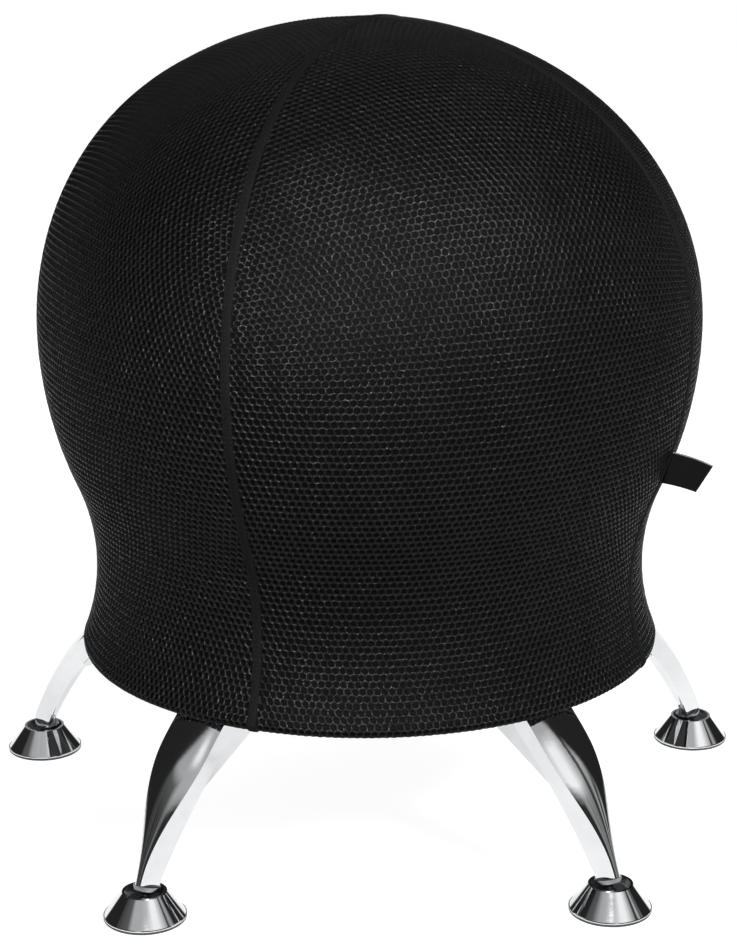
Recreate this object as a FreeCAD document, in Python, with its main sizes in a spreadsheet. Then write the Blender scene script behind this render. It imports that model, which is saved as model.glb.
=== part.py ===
import FreeCAD, Part
import math
import os
import re
import Sketcher

# Balance ball chair, in millimetres, +Z up.
# The origin is on the floor at the centre of the foot circle. The sitter faces -Y and one leg points to +Y.

Vector = FreeCAD.Vector
Rotation = FreeCAD.Rotation
Placement = FreeCAD.Placement

UP = Vector(0, 0, 1)
SIDEWAYS = Vector(0, 1, 0)
NAMED_LEGS = ("back", "rear_left", "front_left", "front_right", "rear_right")
NAMED_SEAMS = ("right", "rear", "left", "front")
NAMED_PANELS = ("rear_right", "rear_left", "front_left", "front_right")

SIZES = (
    ("stance_radius", 263, "foot centres from the chair's axis"),
    ("back_leg_heading", 90, "heading of the back leg, degrees"),
    ("equator_radius", 232.8, "cover at its widest"),
    ("equator_height", 355.6, "height of the widest place"),
    ("side_bend", 203.3, "bend of the cover's shoulder and flank"),
    ("crown_bend", 267.7, "bend of the cover's top"),
    ("skirt_bend", 268.2, "bend of the cover below its widest"),
    ("waist_bend", 153.5, "hollow bend of the cover's waist"),
    ("waist_height", 184.7, "height of the cover's narrowest place"),
    ("rim_height", 121.6, "lowest edge of the cover"),
    ("rim_round", 5.4, "round of the cover's lower edge"),
    ("cover_thickness", 3, "spacer mesh with its backing"),
    ("hem_radius", 196.6, "inner edge of the turned-in mesh"),
    ("seam_width", 6.5, "seam band across"),
    ("seam_proud", 0.8, "seam band above the mesh"),
    ("seam_heading", -23.3, "heading of the right seam, degrees"),
    ("fabric_gap", 0.3, "room between fabric and hard parts"),
    ("cord_radius", 2, "hem cord"),
    ("binding_thickness", 0.9, "hem binding round the cord"),
    ("ball_gap", 0.5, "room between ball and cover"),
    ("ball_wall", 2, "ball wall"),
    ("ball_sole_bend", 265.7, "bend of the ball's underside"),
    ("valve_neck_radius", 8, "valve neck, outside"),
    ("valve_neck_length", 17, "valve neck into the ball"),
    ("valve_bore", 4.5, "radius of the valve's bore"),
    ("running_fit", 0.05, "radial clearance of parts that slide or turn"),
    ("plug_head_radius", 9, "valve plug's head"),
    ("plug_head_thickness", 2.4, "valve plug's head"),
    ("plug_length", 15.5, "valve plug's stem"),
    ("tag_reach", 28, "side tag out of its seam"),
    ("tag_width", 21, "side tag along its seam"),
    ("tag_ply", 0.8, "one ply of the side tag"),
    ("tag_height", 268, "height of the side tag's middle"),
    ("tub_wall", 4, "base tub's wall and floor"),
    ("tub_floor_height", 132, "underside of the tub's floor"),
    ("tub_top", 178, "top of the tub's wall"),
    ("tub_hole", 35, "radius of the valve's access hole"),
    ("tub_collar_drop", 6, "collar round the access hole, below the floor"),
    ("tub_rib", 3, "thickness of the tub's ribs"),
    ("rib_drop", 5, "tub's ribs below its floor"),
    ("pad_inner_end", 114, "inner end of the leg pads and flanges"),
    ("pad_outer_end", 186, "outer end of the leg pads and flanges"),
    ("pad_half_width", 29, "leg pad across, half"),
    ("cradle_hole", 60, "hole through the foam cradle"),
    ("cradle_top", 203, "top of the foam cradle"),
    ("cradle_brow", 12, "foam cradle's flat brow"),
    ("flange_thickness", 4, "leg bracket's flange"),
    ("flange_half_width", 27, "leg bracket's flange across, half"),
    ("bolt_inner_radius", 126, "inner pair of bolts from the chair's axis"),
    ("bolt_outer_radius", 144, "outer bolt from the chair's axis"),
    ("bolt_half_spacing", 17, "inner pair of bolts, half their distance"),
    ("bolt_radius", 2.95, "bolt shank"),
    ("bolt_hole", 3.3, "bolt hole in flange and washer"),
    ("bolt_head_radius", 5.25, "button head"),
    ("bolt_head_height", 3.3, "button head"),
    ("bolt_socket", 2.3, "hexagon socket, centre to corner"),
    ("bolt_grip", 9, "bolt shank inside its insert"),
    ("washer_radius", 6.25, "washer"),
    ("washer_thickness", 1.2, "washer"),
    ("insert_radius", 4.6, "threaded insert, outside"),
    ("insert_length", 9.4, "threaded insert"),
    ("leg_root_radius", 196, "where the leg's crease meets the rim's level"),
    ("leg_bend", 236, "bend of the leg's crease"),
    ("leg_depth", 13.5, "leg's side walls, outside to inner edge"),
    ("leg_wall", 2, "leg's sheet"),
    ("leg_root_half_width", 20, "leg's face at the root, half"),
    ("leg_tip_half_width", 2.4, "leg's face at the tip, half"),
    ("leg_root_mouth", 20, "leg's open side at the root, half"),
    ("leg_tip_mouth", 7.2, "leg's open side at the tip, half"),
    ("leg_root_crown", 4.5, "crown of the leg's face at the root"),
    ("leg_tip_crown", 0.7, "crown of the leg's face at the tip"),
    ("leg_top_gap", 1, "leg's top edge below the cover's rim"),
    ("tongue_half_width", 13.8, "bracket's tongue across, half"),
    ("tongue_sheet", 3, "bracket's tongue"),
    ("tongue_root_radius", 152, "inner end of the tongue from the chair's axis"),
    ("tongue_knee_drop", 17, "knee of the tongue's inner edge, below the flange"),
    ("tongue_reach", 0.62, "tongue's tip along the leg, from its foot end"),
    ("tongue_stand_out", 5, "tongue's tip beyond the leg's inner edge"),
    ("tongue_tip_width", 9, "tongue's rounded tip"),
    ("stud_tilt", 14, "ball stud's lean towards the chair's axis, degrees"),
    ("stud_offset", 10, "leg's crease from the stud's axis"),
    ("stud_ball_radius", 5, "stud's ball head"),
    ("stud_ball_height", 11, "ball head's centre above the floor"),
    ("stud_neck_radius", 2.5, "stud's neck"),
    ("stud_shank_radius", 2.95, "stud's shank"),
    ("stud_shank_length", 16, "stud's shank above its collar"),
    ("collar_radius", 9, "stud's collar"),
    ("collar_offset", 8, "collar's underside from the ball's centre"),
    ("collar_thickness", 4, "stud's collar"),
    ("collar_edge", 0.6, "chamfer of the collar"),
    ("sleeve_radius", 4.2, "stud sleeve, outside"),
    ("sleeve_length", 18, "stud sleeve"),
    ("pad_radius", 27.7, "foot pad"),
    ("pad_thickness", 1.6, "foot pad's edge"),
    ("pad_edge", 0.5, "chamfer under the foot pad"),
    ("pad_step", 1.3, "step that centres the cone"),
    ("pad_ring_height", 7.9, "ring round the socket, above the pad's edge"),
    ("pad_ring_wall", 2.5, "ring round the socket"),
    ("socket_radius", 11, "nylon socket, outside"),
    ("socket_cover", 2.8, "socket above the ball's centre"),
    ("cone_foot_radius", 27, "cone above its bead"),
    ("cone_top_radius", 15, "cone at its open top"),
    ("cone_top_height", 19, "cone's open top above the floor"),
    ("cone_wall", 1.7, "cone's wall, across"),
    ("bead_height", 1.2, "bead round the cone's foot"),
)
ALIASES = [alias for alias, number, note in SIZES]

doc = FreeCAD.newDocument("BalanceBallChair")
sheet = doc.addObject("Spreadsheet::Sheet", "Sizes")
for row, (alias, number, note) in enumerate(SIZES, start=1):
    sheet.set(f"A{row}", note)
    sheet.set(f"B{row}", str(number))
    sheet.setAlias(f"B{row}", alias)
doc.recompute()


def bound(formula):
    """The formula with each alias pointing at the sheet."""
    return re.sub(r"[a-z_]+", lambda word: f"Sizes.{word[0]}" if word[0] in ALIASES else word[0], formula)


def size(formula):
    """The formula's value in millimetres or degrees."""
    return float(doc.Sizes.evalExpression(bound(str(formula))))


# Shapes that several pieces share, as formulas of the sheet's sizes.
# The cover's outline is four arcs that meet smoothly. An inset outline keeps their centres.

SIDE_CENTRE = "(equator_radius - side_bend)"
CROWN_DROP = f"sqrt((crown_bend - side_bend)^2 - {SIDE_CENTRE}^2)"
SKIRT_CENTRE = "(equator_radius - skirt_bend)"
WAIST_SPAN = "sqrt((skirt_bend + waist_bend)^2 - (equator_height - waist_height)^2)"
WAIST_CENTRE = f"({SKIRT_CENTRE} + {WAIST_SPAN})"
BALL_INSET = "(cover_thickness + ball_gap)"
SOLE_RISE = f"sqrt((ball_sole_bend - side_bend + {BALL_INSET})^2 - {SIDE_CENTRE}^2)"
HARD_INSET = "(cover_thickness + fabric_gap)"
MOUNT_HEIGHT = "(rim_height + cover_thickness)"
LEG_TOP = "(rim_height - leg_top_gap)"
FLANGE_UNDERSIDE = f"({MOUNT_HEIGHT} - flange_thickness)"
COLLAR_TOP = "(collar_offset + collar_thickness)"


def crown_joint(inset):
    """Where the top arc meets the side arc."""
    share = f"((crown_bend - {inset}) / (crown_bend - side_bend))"
    across = f"{SIDE_CENTRE} * {share}"
    height = f"equator_height - {CROWN_DROP} + {CROWN_DROP} * {share}"
    return across, height


def crown_top(inset):
    """The outline's highest place, on the axis."""
    return "0", f"equator_height - {CROWN_DROP} + crown_bend - {inset}"


def waist_joint(inset):
    """Where the skirt's arc meets the waist's hollow arc."""
    share = f"((skirt_bend - {inset}) / (skirt_bend + waist_bend))"
    across = f"{SKIRT_CENTRE} + {WAIST_SPAN} * {share}"
    height = f"equator_height - (equator_height - waist_height) * {share}"
    return across, height


def waist_place(inset, height):
    """A place on the waist's hollow arc at a height."""
    return f"{WAIST_CENTRE} - sqrt((waist_bend + {inset})^2 - (waist_height - ({height}))^2)", height


def sole_joint(bend):
    """Where the ball's side arc, of radius bend, meets the arc of its underside."""
    sole = f"(ball_sole_bend + ({bend}) - side_bend + {BALL_INSET})"
    share = f"({sole} / (ball_sole_bend - side_bend + {BALL_INSET}))"
    return f"{SIDE_CENTRE} * {share}", f"equator_height + {SOLE_RISE} - {SOLE_RISE} * {share}"


def sole_height(bend):
    """The lowest place of the ball's outline with side radius bend."""
    return f"equator_height + {SOLE_RISE} - (ball_sole_bend + ({bend}) - side_bend + {BALL_INSET})"


def arc_middle(start, end, radius, turn):
    """The middle of the short arc from start to end. Turn is 1 when it bends left of the way, or -1."""
    chord = end - start
    half = chord.Length / 2
    rise = radius - math.sqrt(max(radius ** 2 - half ** 2, 0))
    right = Vector(chord.y, -chord.x, 0).normalize()
    return start + chord * 0.5 + right * (rise * turn)


def outline(body, name, corners, arcs=None, plane="XZ_Plane"):
    """A closed sketch. Corners are pairs of formulas. Arcs maps a corner to the arc that leaves it."""
    sketch = body.newObject("Sketcher::SketchObject", name)
    face = next(item for item in body.Origin.OriginFeatures if item.Role == plane)
    sketch.AttachmentSupport = (face, [""])
    sketch.MapMode = "FlatFace"
    arcs = arcs or {}
    points = [Vector(size(across), size(height), 0) for across, height in corners]
    ends = []
    for index, start in enumerate(points):
        end = points[(index + 1) % len(points)]
        if index in arcs:
            bend, turn = arcs[index]
            curve = Part.Arc(start, arc_middle(start, end, size(bend), turn), end)
        else:
            curve = Part.LineSegment(start, end)
        line = sketch.addGeometry(curve)
        forward = (sketch.getPoint(line, 1) - start).Length < (sketch.getPoint(line, 2) - start).Length
        ends.append((line, 1, 2) if forward else (line, 2, 1))
    for index, (line, first, last) in enumerate(ends):
        before, before_first, before_last = ends[index - 1]
        sketch.addConstraint(Sketcher.Constraint("Coincident", before, before_last, line, first))
        across, height = corners[index]
        for kind, axis, formula in (("DistanceX", -2, across), ("DistanceY", -1, height)):
            number = size(formula)
            if abs(number) < 1e-9:
                sketch.addConstraint(Sketcher.Constraint("PointOnObject", line, first, axis))
                continue
            place = sketch.addConstraint(Sketcher.Constraint(kind, -1, 1, line, first, number))
            sketch.setExpression(f"Constraints[{place}]", bound(str(formula)))
        if index in arcs:
            bend = arcs[index][0]
            place = sketch.addConstraint(Sketcher.Constraint("Radius", line, size(bend)))
            sketch.setExpression(f"Constraints[{place}]", bound(bend))
    return sketch


def new_body(name):
    """An empty body under the sub-part's own name."""
    body = doc.addObject("PartDesign::Body", name)
    body.Label = name
    return body


def turned(body, name, corners, arcs=None, kind="Revolution"):
    """Material turned, or a groove cut, about the body's own Z axis."""
    sketch = outline(body, f"{name}_outline", corners, arcs)
    feature = body.newObject(f"PartDesign::{kind}", name)
    feature.Profile = sketch
    feature.ReferenceAxis = (sketch, ["V_Axis"])
    feature.Angle = 360
    doc.recompute()
    return feature


def extruded(body, name, corners, length, arcs=None, plane="XZ_Plane", kind="Pad", middle=True,
             reverse=False):
    """A pad or a pocket of one outline, about its plane when middle is true."""
    sketch = outline(body, f"{name}_outline", corners, arcs, plane)
    feature = body.newObject(f"PartDesign::{kind}", name)
    feature.Profile = sketch
    feature.Midplane = middle
    feature.Reversed = reverse
    feature.setExpression("Length", bound(length))
    doc.recompute()
    return feature


def raise_sketch(feature, height):
    """Lifts a feature's sketch off its plane by a formula."""
    sketch = feature.Profile[0]
    sketch.AttachmentOffset = Placement(Vector(0, 0, size(height)), Rotation())
    sketch.setExpression("AttachmentOffset.Base.z", bound(height))
    doc.recompute()


def round_hole(body, name, places, radius, top, depth):
    """Round holes cut downwards from a height. Places are pairs of formulas."""
    sketch = body.newObject("Sketcher::SketchObject", f"{name}_circles")
    face = next(item for item in body.Origin.OriginFeatures if item.Role == "XY_Plane")
    sketch.AttachmentSupport = (face, [""])
    sketch.MapMode = "FlatFace"
    for across, along in places:
        centre = Vector(size(across), size(along), 0)
        circle = sketch.addGeometry(Part.Circle(centre, UP, size(radius)))
        for kind, axis, formula in (("DistanceX", -2, across), ("DistanceY", -1, along)):
            if abs(size(formula)) < 1e-9:
                sketch.addConstraint(Sketcher.Constraint("PointOnObject", circle, 3, axis))
                continue
            place = sketch.addConstraint(Sketcher.Constraint(kind, -1, 1, circle, 3, size(formula)))
            sketch.setExpression(f"Constraints[{place}]", bound(formula))
        place = sketch.addConstraint(Sketcher.Constraint("Radius", circle, size(radius)))
        sketch.setExpression(f"Constraints[{place}]", bound(radius))
    pocket = body.newObject("PartDesign::Pocket", name)
    pocket.Profile = sketch
    pocket.setExpression("Length", bound(depth))
    raise_sketch(pocket, top)
    return pocket


def round_the_axis(body, feature, name, count):
    """Copies of a feature, evenly spaced about the body's Z axis."""
    pattern = body.newObject("PartDesign::PolarPattern", name)
    pattern.Originals = [feature]
    pattern.Axis = (next(item for item in body.Origin.OriginFeatures if item.Role == "Z_Axis"), [""])
    pattern.Angle = 360
    pattern.Occurrences = count
    body.Tip = pattern
    doc.recompute()
    return pattern


def group(name, body, places):
    """Copies of one body at several places, as one sub-part of separate solids."""
    feature = doc.addObject("Part::Feature", name)
    feature.Label = name
    copies = []
    for place in places:
        copy = body.Shape.copy()
        copy.Placement = place
        copies.append(copy)
    feature.Shape = Part.makeCompound(copies)
    feature.Placement = Placement()
    return feature


def leg_heading(index):
    """A leg's heading in degrees, counted from +X."""
    return size("back_leg_heading") + 360 * index / len(NAMED_LEGS)


def at_leg(index, offset=Vector(0, 0, 0), tilt=0):
    """A place in a leg's own frame, whose X axis points outward along the leg's heading."""
    turn = Placement(Vector(0, 0, 0), Rotation(UP, leg_heading(index)))
    return turn * Placement(offset, Rotation(SIDEWAYS, -tilt))


# The inflatable ball with its valve

def make_ball():
    """The ball's hollow wall, with the valve's neck at its lowest place."""
    body = new_body("inflatable_ball")
    side = f"side_bend - {BALL_INSET}"
    inner_side = f"{side} - ball_wall"
    inner = f"({BALL_INSET} + ball_wall)"
    low = sole_height(side)
    outside = [crown_top(BALL_INSET), ("0", low), sole_joint(side), crown_joint(BALL_INSET)]
    arcs = {1: ("ball_sole_bend", 1), 2: (side, 1), 3: (f"crown_bend - {BALL_INSET}", 1)}
    turned(body, "ball_outside", outside, arcs)
    inside = [crown_top(inner), ("0", sole_height(inner_side)), sole_joint(inner_side), crown_joint(inner)]
    arcs = {1: ("ball_sole_bend - ball_wall", 1), 2: (inner_side, 1), 3: (f"crown_bend - {inner}", 1)}
    turned(body, "ball_inside", inside, arcs, "Groove")
    root = f"{low} + ball_wall / 2"
    top = f"{low} + valve_neck_length"
    neck = [("0", root), ("valve_neck_radius", root), ("valve_neck_radius", top), ("0", top)]
    turned(body, "valve_neck", neck)
    start = f"{low} - ball_wall"
    end = f"{top} + ball_wall"
    bore = [("0", start), ("valve_bore", start), ("valve_bore", end), ("0", end)]
    turned(body, "valve_bore_cut", bore, kind="Groove")
    return body


def make_valve_plug():
    """The plug, pushed up into the valve's neck from below."""
    body = new_body("valve_plug")
    seat = f"({sole_height(f'side_bend - {BALL_INSET}')} - running_fit)"
    stem = "(valve_bore - running_fit)"
    corners = [
        ("0", f"{seat} - plug_head_thickness"),
        ("plug_head_radius - plug_head_thickness / 3", f"{seat} - plug_head_thickness"),
        ("plug_head_radius", f"{seat} - plug_head_thickness * 2 / 3"),
        ("plug_head_radius", seat),
        (stem, seat),
        (stem, f"{seat} + plug_length * 0.8"),
        (f"{stem} * 0.7", f"{seat} + plug_length"),
        ("0", f"{seat} + plug_length"),
    ]
    turned(body, "plug", corners)
    return body


# The mesh cover, its seams, hem and tag

def cover_wall(name, outer_inset):
    """The cover's full wall, turned about the axis, from the top down to the turned-in hem."""
    body = new_body(name)
    inner = "cover_thickness"
    bottom = f"rim_height + ({outer_inset})"
    corner_height = "rim_height + rim_round"
    outer_rim = waist_place(outer_inset, corner_height)
    inner_rim = waist_place(inner, corner_height)
    turn_in = f"{waist_place('0', corner_height)[0]} - rim_round"
    corners = [
        crown_top(outer_inset),
        crown_top(inner),
        crown_joint(inner),
        (f"equator_radius - {inner}", "equator_height"),
        waist_joint(inner),
        inner_rim,
        (turn_in, MOUNT_HEIGHT),
        ("hem_radius", MOUNT_HEIGHT),
        ("hem_radius", bottom),
        (turn_in, bottom),
        outer_rim,
        waist_joint(outer_inset),
        (f"equator_radius - ({outer_inset})", "equator_height"),
        crown_joint(outer_inset),
    ]
    arcs = {
        1: (f"crown_bend - {inner}", -1),
        2: (f"side_bend - {inner}", -1),
        3: (f"skirt_bend - {inner}", -1),
        4: (f"waist_bend + {inner}", 1),
        5: (f"rim_round - {inner} + fabric_gap", -1),
        9: (f"rim_round - ({outer_inset}) + fabric_gap", 1),
        10: (f"waist_bend + ({outer_inset})", -1),
        11: (f"skirt_bend - ({outer_inset})", 1),
        12: (f"side_bend - ({outer_inset})", 1),
        13: (f"crown_bend - ({outer_inset})", 1),
    }
    turned(body, f"{name}_turn", corners, arcs)
    return body


def make_cover():
    """Four mesh panels and the four seam bands between them."""
    mesh = cover_wall("cover_wall", "0")
    bands = cover_wall("band_wall", "-seam_proud")
    block = doc.addObject("Part::Box", "panel_quarter")
    for side in ("Length", "Width", "Height"):
        block.setExpression(side, bound("equator_radius + equator_height + crown_bend"))
    block.setExpression("Placement.Base.x", bound("seam_width / 2"))
    block.setExpression("Placement.Base.y", bound("seam_width / 2"))
    strip = new_body("seam_strip")
    reach = "equator_radius + cover_thickness"
    mitre = [
        ("0", "0"),
        ("seam_width / 2", "-seam_width / 2"),
        (reach, "-seam_width / 2"),
        (reach, "seam_width / 2"),
        ("seam_width / 2", "seam_width / 2"),
    ]
    extruded(strip, "seam_strip_pad", mitre, "equator_height + crown_bend", plane="XY_Plane", middle=False)
    pieces = []
    for index in range(len(NAMED_SEAMS)):
        heading = size("seam_heading") + 90 * index
        for label, wall, tool in (
            (f"cover_panel_{NAMED_PANELS[index]}", mesh, block),
            (f"seam_band_{NAMED_SEAMS[index]}", bands, strip),
        ):
            piece = doc.addObject("Part::Common", label)
            piece.Label = label
            piece.Base = wall
            piece.Tool = tool
            piece.Placement = Placement(Vector(0, 0, 0), Rotation(UP, heading))
            pieces.append(piece)
    return pieces


HEM_CENTRE = "(hem_radius - fabric_gap - cord_radius - binding_thickness)"
HEM_HEIGHT = "(rim_height + fabric_gap + cord_radius + binding_thickness)"


def make_hem_cord():
    """The cord that draws the hem in under the tub's lip."""
    cord = doc.addObject("Part::Torus", "hem_cord")
    cord.Label = "hem_cord"
    cord.setExpression("Radius1", bound(HEM_CENTRE))
    cord.setExpression("Radius2", bound("cord_radius"))
    cord.setExpression("Placement.Base.z", bound(HEM_HEIGHT))
    return cord


def make_hem_binding():
    """The fabric tunnel round the hem cord."""
    tubes = []
    for name, radius in (("binding_outside", "cord_radius + binding_thickness"),
                         ("binding_inside", "cord_radius + running_fit")):
        tube = doc.addObject("Part::Torus", name)
        tube.setExpression("Radius1", bound(HEM_CENTRE))
        tube.setExpression("Radius2", bound(radius))
        tube.setExpression("Placement.Base.z", bound(HEM_HEIGHT))
        tubes.append(tube)
    binding = doc.addObject("Part::Cut", "hem_binding")
    binding.Label = "hem_binding"
    binding.Base, binding.Tool = tubes
    return binding


def make_tag():
    """The folded tag, two plies with a round fold at their outer end, square to the seam."""
    body = new_body("cover_tag")
    ply = "tag_ply"
    gap = "running_fit"
    straight = f"tag_reach - {ply} - {gap}"
    corners = [
        ("0", f"-{ply} - {gap}"),
        (straight, f"-{ply} - {gap}"),
        (straight, f"{ply} + {gap}"),
        ("0", f"{ply} + {gap}"),
        ("0", gap),
        (straight, gap),
        (straight, f"-{gap}"),
        ("0", f"-{gap}"),
    ]
    arcs = {1: (f"{ply} + {gap} * 1.01", 1), 5: (f"{gap} * 1.01", -1)}
    extruded(body, "tag", corners, "tag_width", arcs, plane="XY_Plane")
    bend = size("skirt_bend")
    fall = math.asin((size("equator_height") - size("tag_height")) / bend)
    root = bend + size("seam_proud") + size("fabric_gap") / 2
    reach = size(SKIRT_CENTRE) + root * math.cos(fall)
    height = size("equator_height") - root * math.sin(fall)
    seam = Placement(Vector(0, 0, 0), Rotation(UP, size("seam_heading")))
    body.Placement = seam * Placement(Vector(reach, 0, height), Rotation(SIDEWAYS, math.degrees(fall)))
    return body


# The base tub and the foam cradle

def make_tub():
    """The moulded tub: floor, flared wall, lip, leg pads, ribs, access collar and insert holes."""
    body = new_body("base_tub")
    inner = f"({HARD_INSET} + tub_wall)"
    lip = f"{MOUNT_HEIGHT} + fabric_gap"
    collar = "tub_floor_height - tub_collar_drop"
    floor = "tub_floor_height + tub_wall"
    lip_top = f"{lip} + rim_round / 2"
    corners = [
        ("tub_hole", collar),
        ("tub_hole + tub_wall", collar),
        ("tub_hole + tub_wall", "tub_floor_height"),
        ("hem_radius + fabric_gap * 2", "tub_floor_height"),
        ("hem_radius + fabric_gap * 2", lip),
        (f"{waist_place(HARD_INSET, lip_top)[0]} - rim_round / 2", lip),
        waist_place(HARD_INSET, lip_top),
        waist_place(HARD_INSET, "tub_top"),
        waist_place(inner, "tub_top"),
        waist_place(inner, floor),
        ("tub_hole", floor),
    ]
    arcs = {6: (f"waist_bend + {HARD_INSET}", -1), 8: (f"waist_bend + {inner}", 1)}
    turned(body, "tub_shell", corners, arcs)
    pad = [
        ("pad_inner_end", "-pad_half_width"),
        ("pad_outer_end", "-pad_half_width"),
        ("pad_outer_end", "pad_half_width"),
        ("pad_inner_end", "pad_half_width"),
    ]
    depth = f"tub_floor_height + tub_wall / 2 - {MOUNT_HEIGHT}"
    leg_pad = extruded(body, "leg_pad", pad, depth, plane="XY_Plane", middle=False)
    raise_sketch(leg_pad, MOUNT_HEIGHT)
    round_the_axis(body, leg_pad, "leg_pads", len(NAMED_LEGS))
    rib = [
        ("tub_hole + tub_wall / 2", "-tub_rib / 2"),
        ("pad_inner_end + tub_rib", "-tub_rib / 2"),
        ("pad_inner_end + tub_rib", "tub_rib / 2"),
        ("tub_hole + tub_wall / 2", "tub_rib / 2"),
    ]
    leg_rib = extruded(body, "leg_rib", rib, "rib_drop + tub_wall / 2", plane="XY_Plane", middle=False)
    raise_sketch(leg_rib, "tub_floor_height - rib_drop")
    round_the_axis(body, leg_rib, "leg_ribs", len(NAMED_LEGS))
    between = [
        ("-tub_rib / 2", "-hem_radius - fabric_gap * 3"),
        ("tub_rib / 2", "-hem_radius - fabric_gap * 3"),
        ("tub_rib / 2", "-tub_hole - tub_wall / 2"),
        ("-tub_rib / 2", "-tub_hole - tub_wall / 2"),
    ]
    gap_depth = "rib_drop / 2 + tub_wall / 2"
    gap_rib = extruded(body, "gap_rib", between, gap_depth, plane="XY_Plane", middle=False)
    raise_sketch(gap_rib, "tub_floor_height - rib_drop / 2")
    round_the_axis(body, gap_rib, "gap_ribs", len(NAMED_LEGS))
    places = [
        ("bolt_inner_radius", "-bolt_half_spacing"),
        ("bolt_inner_radius", "bolt_half_spacing"),
        ("bolt_outer_radius", "0"),
    ]
    top = f"{MOUNT_HEIGHT} + insert_length"
    bore = "insert_radius + running_fit"
    holes = round_hole(body, "insert_hole", places, bore, top, "insert_length + tub_wall")
    round_the_axis(body, holes, "insert_holes", len(NAMED_LEGS))
    body.Placement = at_leg(0)
    return body


def make_cradle():
    """The foam ring in the tub, hollowed to the ball."""
    body = new_body("foam_cradle")
    side = f"side_bend - {BALL_INSET} + fabric_gap"
    wall = f"({HARD_INSET} + tub_wall + fabric_gap)"
    low = "tub_floor_height + tub_wall + fabric_gap"
    shoulder = "tub_top - tub_wall / 2"
    sole = "(ball_sole_bend + fabric_gap)"
    brow = f"{SIDE_CENTRE} + sqrt(({side})^2 - (equator_height - cradle_top)^2)"
    bottom = f"equator_height + {SOLE_RISE} - sqrt({sole}^2 - cradle_hole^2)"
    corners = [
        ("cradle_hole", low),
        waist_place(wall, low),
        waist_place(wall, shoulder),
        (f"{brow} + cradle_brow", "cradle_top"),
        (brow, "cradle_top"),
        sole_joint(side),
        ("cradle_hole", bottom),
    ]
    arcs = {1: (f"waist_bend + {wall}", -1), 4: (side, -1), 5: (sole, -1)}
    turned(body, "cradle", corners, arcs)
    return body


# The legs: pressed horns on bolted brackets

def leg_frame():
    """Centre and end angles of the circle that a leg's crease follows, in the leg's own upright plane."""
    lean = math.radians(size("stud_tilt"))
    reach = size(f"{COLLAR_TOP} + fabric_gap")
    offset = size("stud_offset")
    foot = Vector(
        size("stance_radius") - reach * math.sin(lean) + offset * math.cos(lean),
        size("stud_ball_height") + reach * math.cos(lean) + offset * math.sin(lean),
        0,
    )
    root = Vector(size("leg_root_radius"), size("rim_height"), 0)
    chord = root - foot
    bend = size("leg_bend")
    inward = Vector(-chord.y, chord.x, 0).normalize()
    centre = foot + chord * 0.5 + inward * math.sqrt(bend ** 2 - chord.Length ** 2 / 4)
    angles = [math.atan2((end - centre).y, (end - centre).x) for end in (foot, root)]
    return centre, angles[0], angles[1]


def along_leg(share, depth, side=0.0):
    """A point of the leg: share 0 at the foot to 1 at the root, depth inward from the crease, and side."""
    centre, foot_angle, root_angle = leg_frame()
    angle = foot_angle + share * (root_angle - foot_angle)
    radius = size("leg_bend") - depth
    return Vector(centre.x + radius * math.cos(angle), side, centre.y + radius * math.sin(angle))


def leg_section(share, hollow):
    """One closed section of the leg, or of the hollow inside its sheet."""
    reach = min(max(share, 0), 1)
    swell = (1 - math.cos(math.pi * min(reach / 0.8, 1))) / 2
    face = size("leg_tip_half_width") + size("leg_root_half_width - leg_tip_half_width") * swell
    mouth = size("leg_tip_mouth") + size("leg_root_mouth - leg_tip_mouth") * math.sin(math.pi * reach / 2)
    crown = size("leg_tip_crown") + size("leg_root_crown - leg_tip_crown") * swell
    depth = size("leg_depth")
    sheet = size("leg_wall")
    top = 0.0
    if hollow:
        splay = (mouth - face) / depth
        narrow = face + splay * sheet - sheet
        crown = crown * narrow / face
        mouth = mouth + splay * sheet - sheet
        face = narrow
        depth = depth + sheet
        top = sheet
    left_edge = along_leg(share, depth, -mouth)
    left_crease = along_leg(share, top, -face)
    ridge = along_leg(share, top - crown)
    right_crease = along_leg(share, top, face)
    right_edge = along_leg(share, depth, mouth)
    return Part.Wire([
        Part.makeLine(left_edge, left_crease),
        Part.Arc(left_crease, ridge, right_crease).toShape(),
        Part.makeLine(right_crease, right_edge),
        Part.makeLine(right_edge, left_edge),
    ])


def stud_place():
    """The stud's own frame in a leg's plane: origin at the ball's centre, Z along the stud."""
    centre = Vector(size("stance_radius"), 0, size("stud_ball_height"))
    return Placement(centre, Rotation(SIDEWAYS, -size("stud_tilt")))


def leg_shape():
    """The pressed horn: a lofted channel, open inward, cut level at its top and square at its foot."""
    shares = [0.14 * step - 0.12 for step in range(11)]
    solid = Part.makeLoft([leg_section(share, False) for share in shares], True)
    hollow = Part.makeLoft([leg_section(share, True) for share in shares], True)
    room = size("stance_radius")
    level = Part.makeBox(room * 2, room, room, Vector(0, -room / 2, size(LEG_TOP)))
    foot_end = size(f"{COLLAR_TOP} + fabric_gap")
    foot = Part.makeBox(room, room, room, Vector(-room / 2, -room / 2, foot_end - room))
    foot.Placement = stud_place()
    seat = Part.makeCylinder(size("sleeve_radius + running_fit"), size("sleeve_length + collar_thickness"))
    seat.Placement = stud_place() * Placement(Vector(0, 0, size(COLLAR_TOP)), Rotation())
    shape = solid.cut(hollow).cut(level).cut(foot).cut(seat)
    return max(shape.Solids, key=lambda piece: piece.Volume)


def make_leg_shells():
    """One horn for each leg."""
    shape = leg_shape()
    shells = []
    for index, name in enumerate(NAMED_LEGS):
        shell = doc.addObject("Part::Feature", f"leg_shell_{name}")
        shell.Label = f"leg_shell_{name}"
        shell.Shape = shape.copy()
        shell.Placement = at_leg(index)
        shells.append(shell)
    return shells


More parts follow.
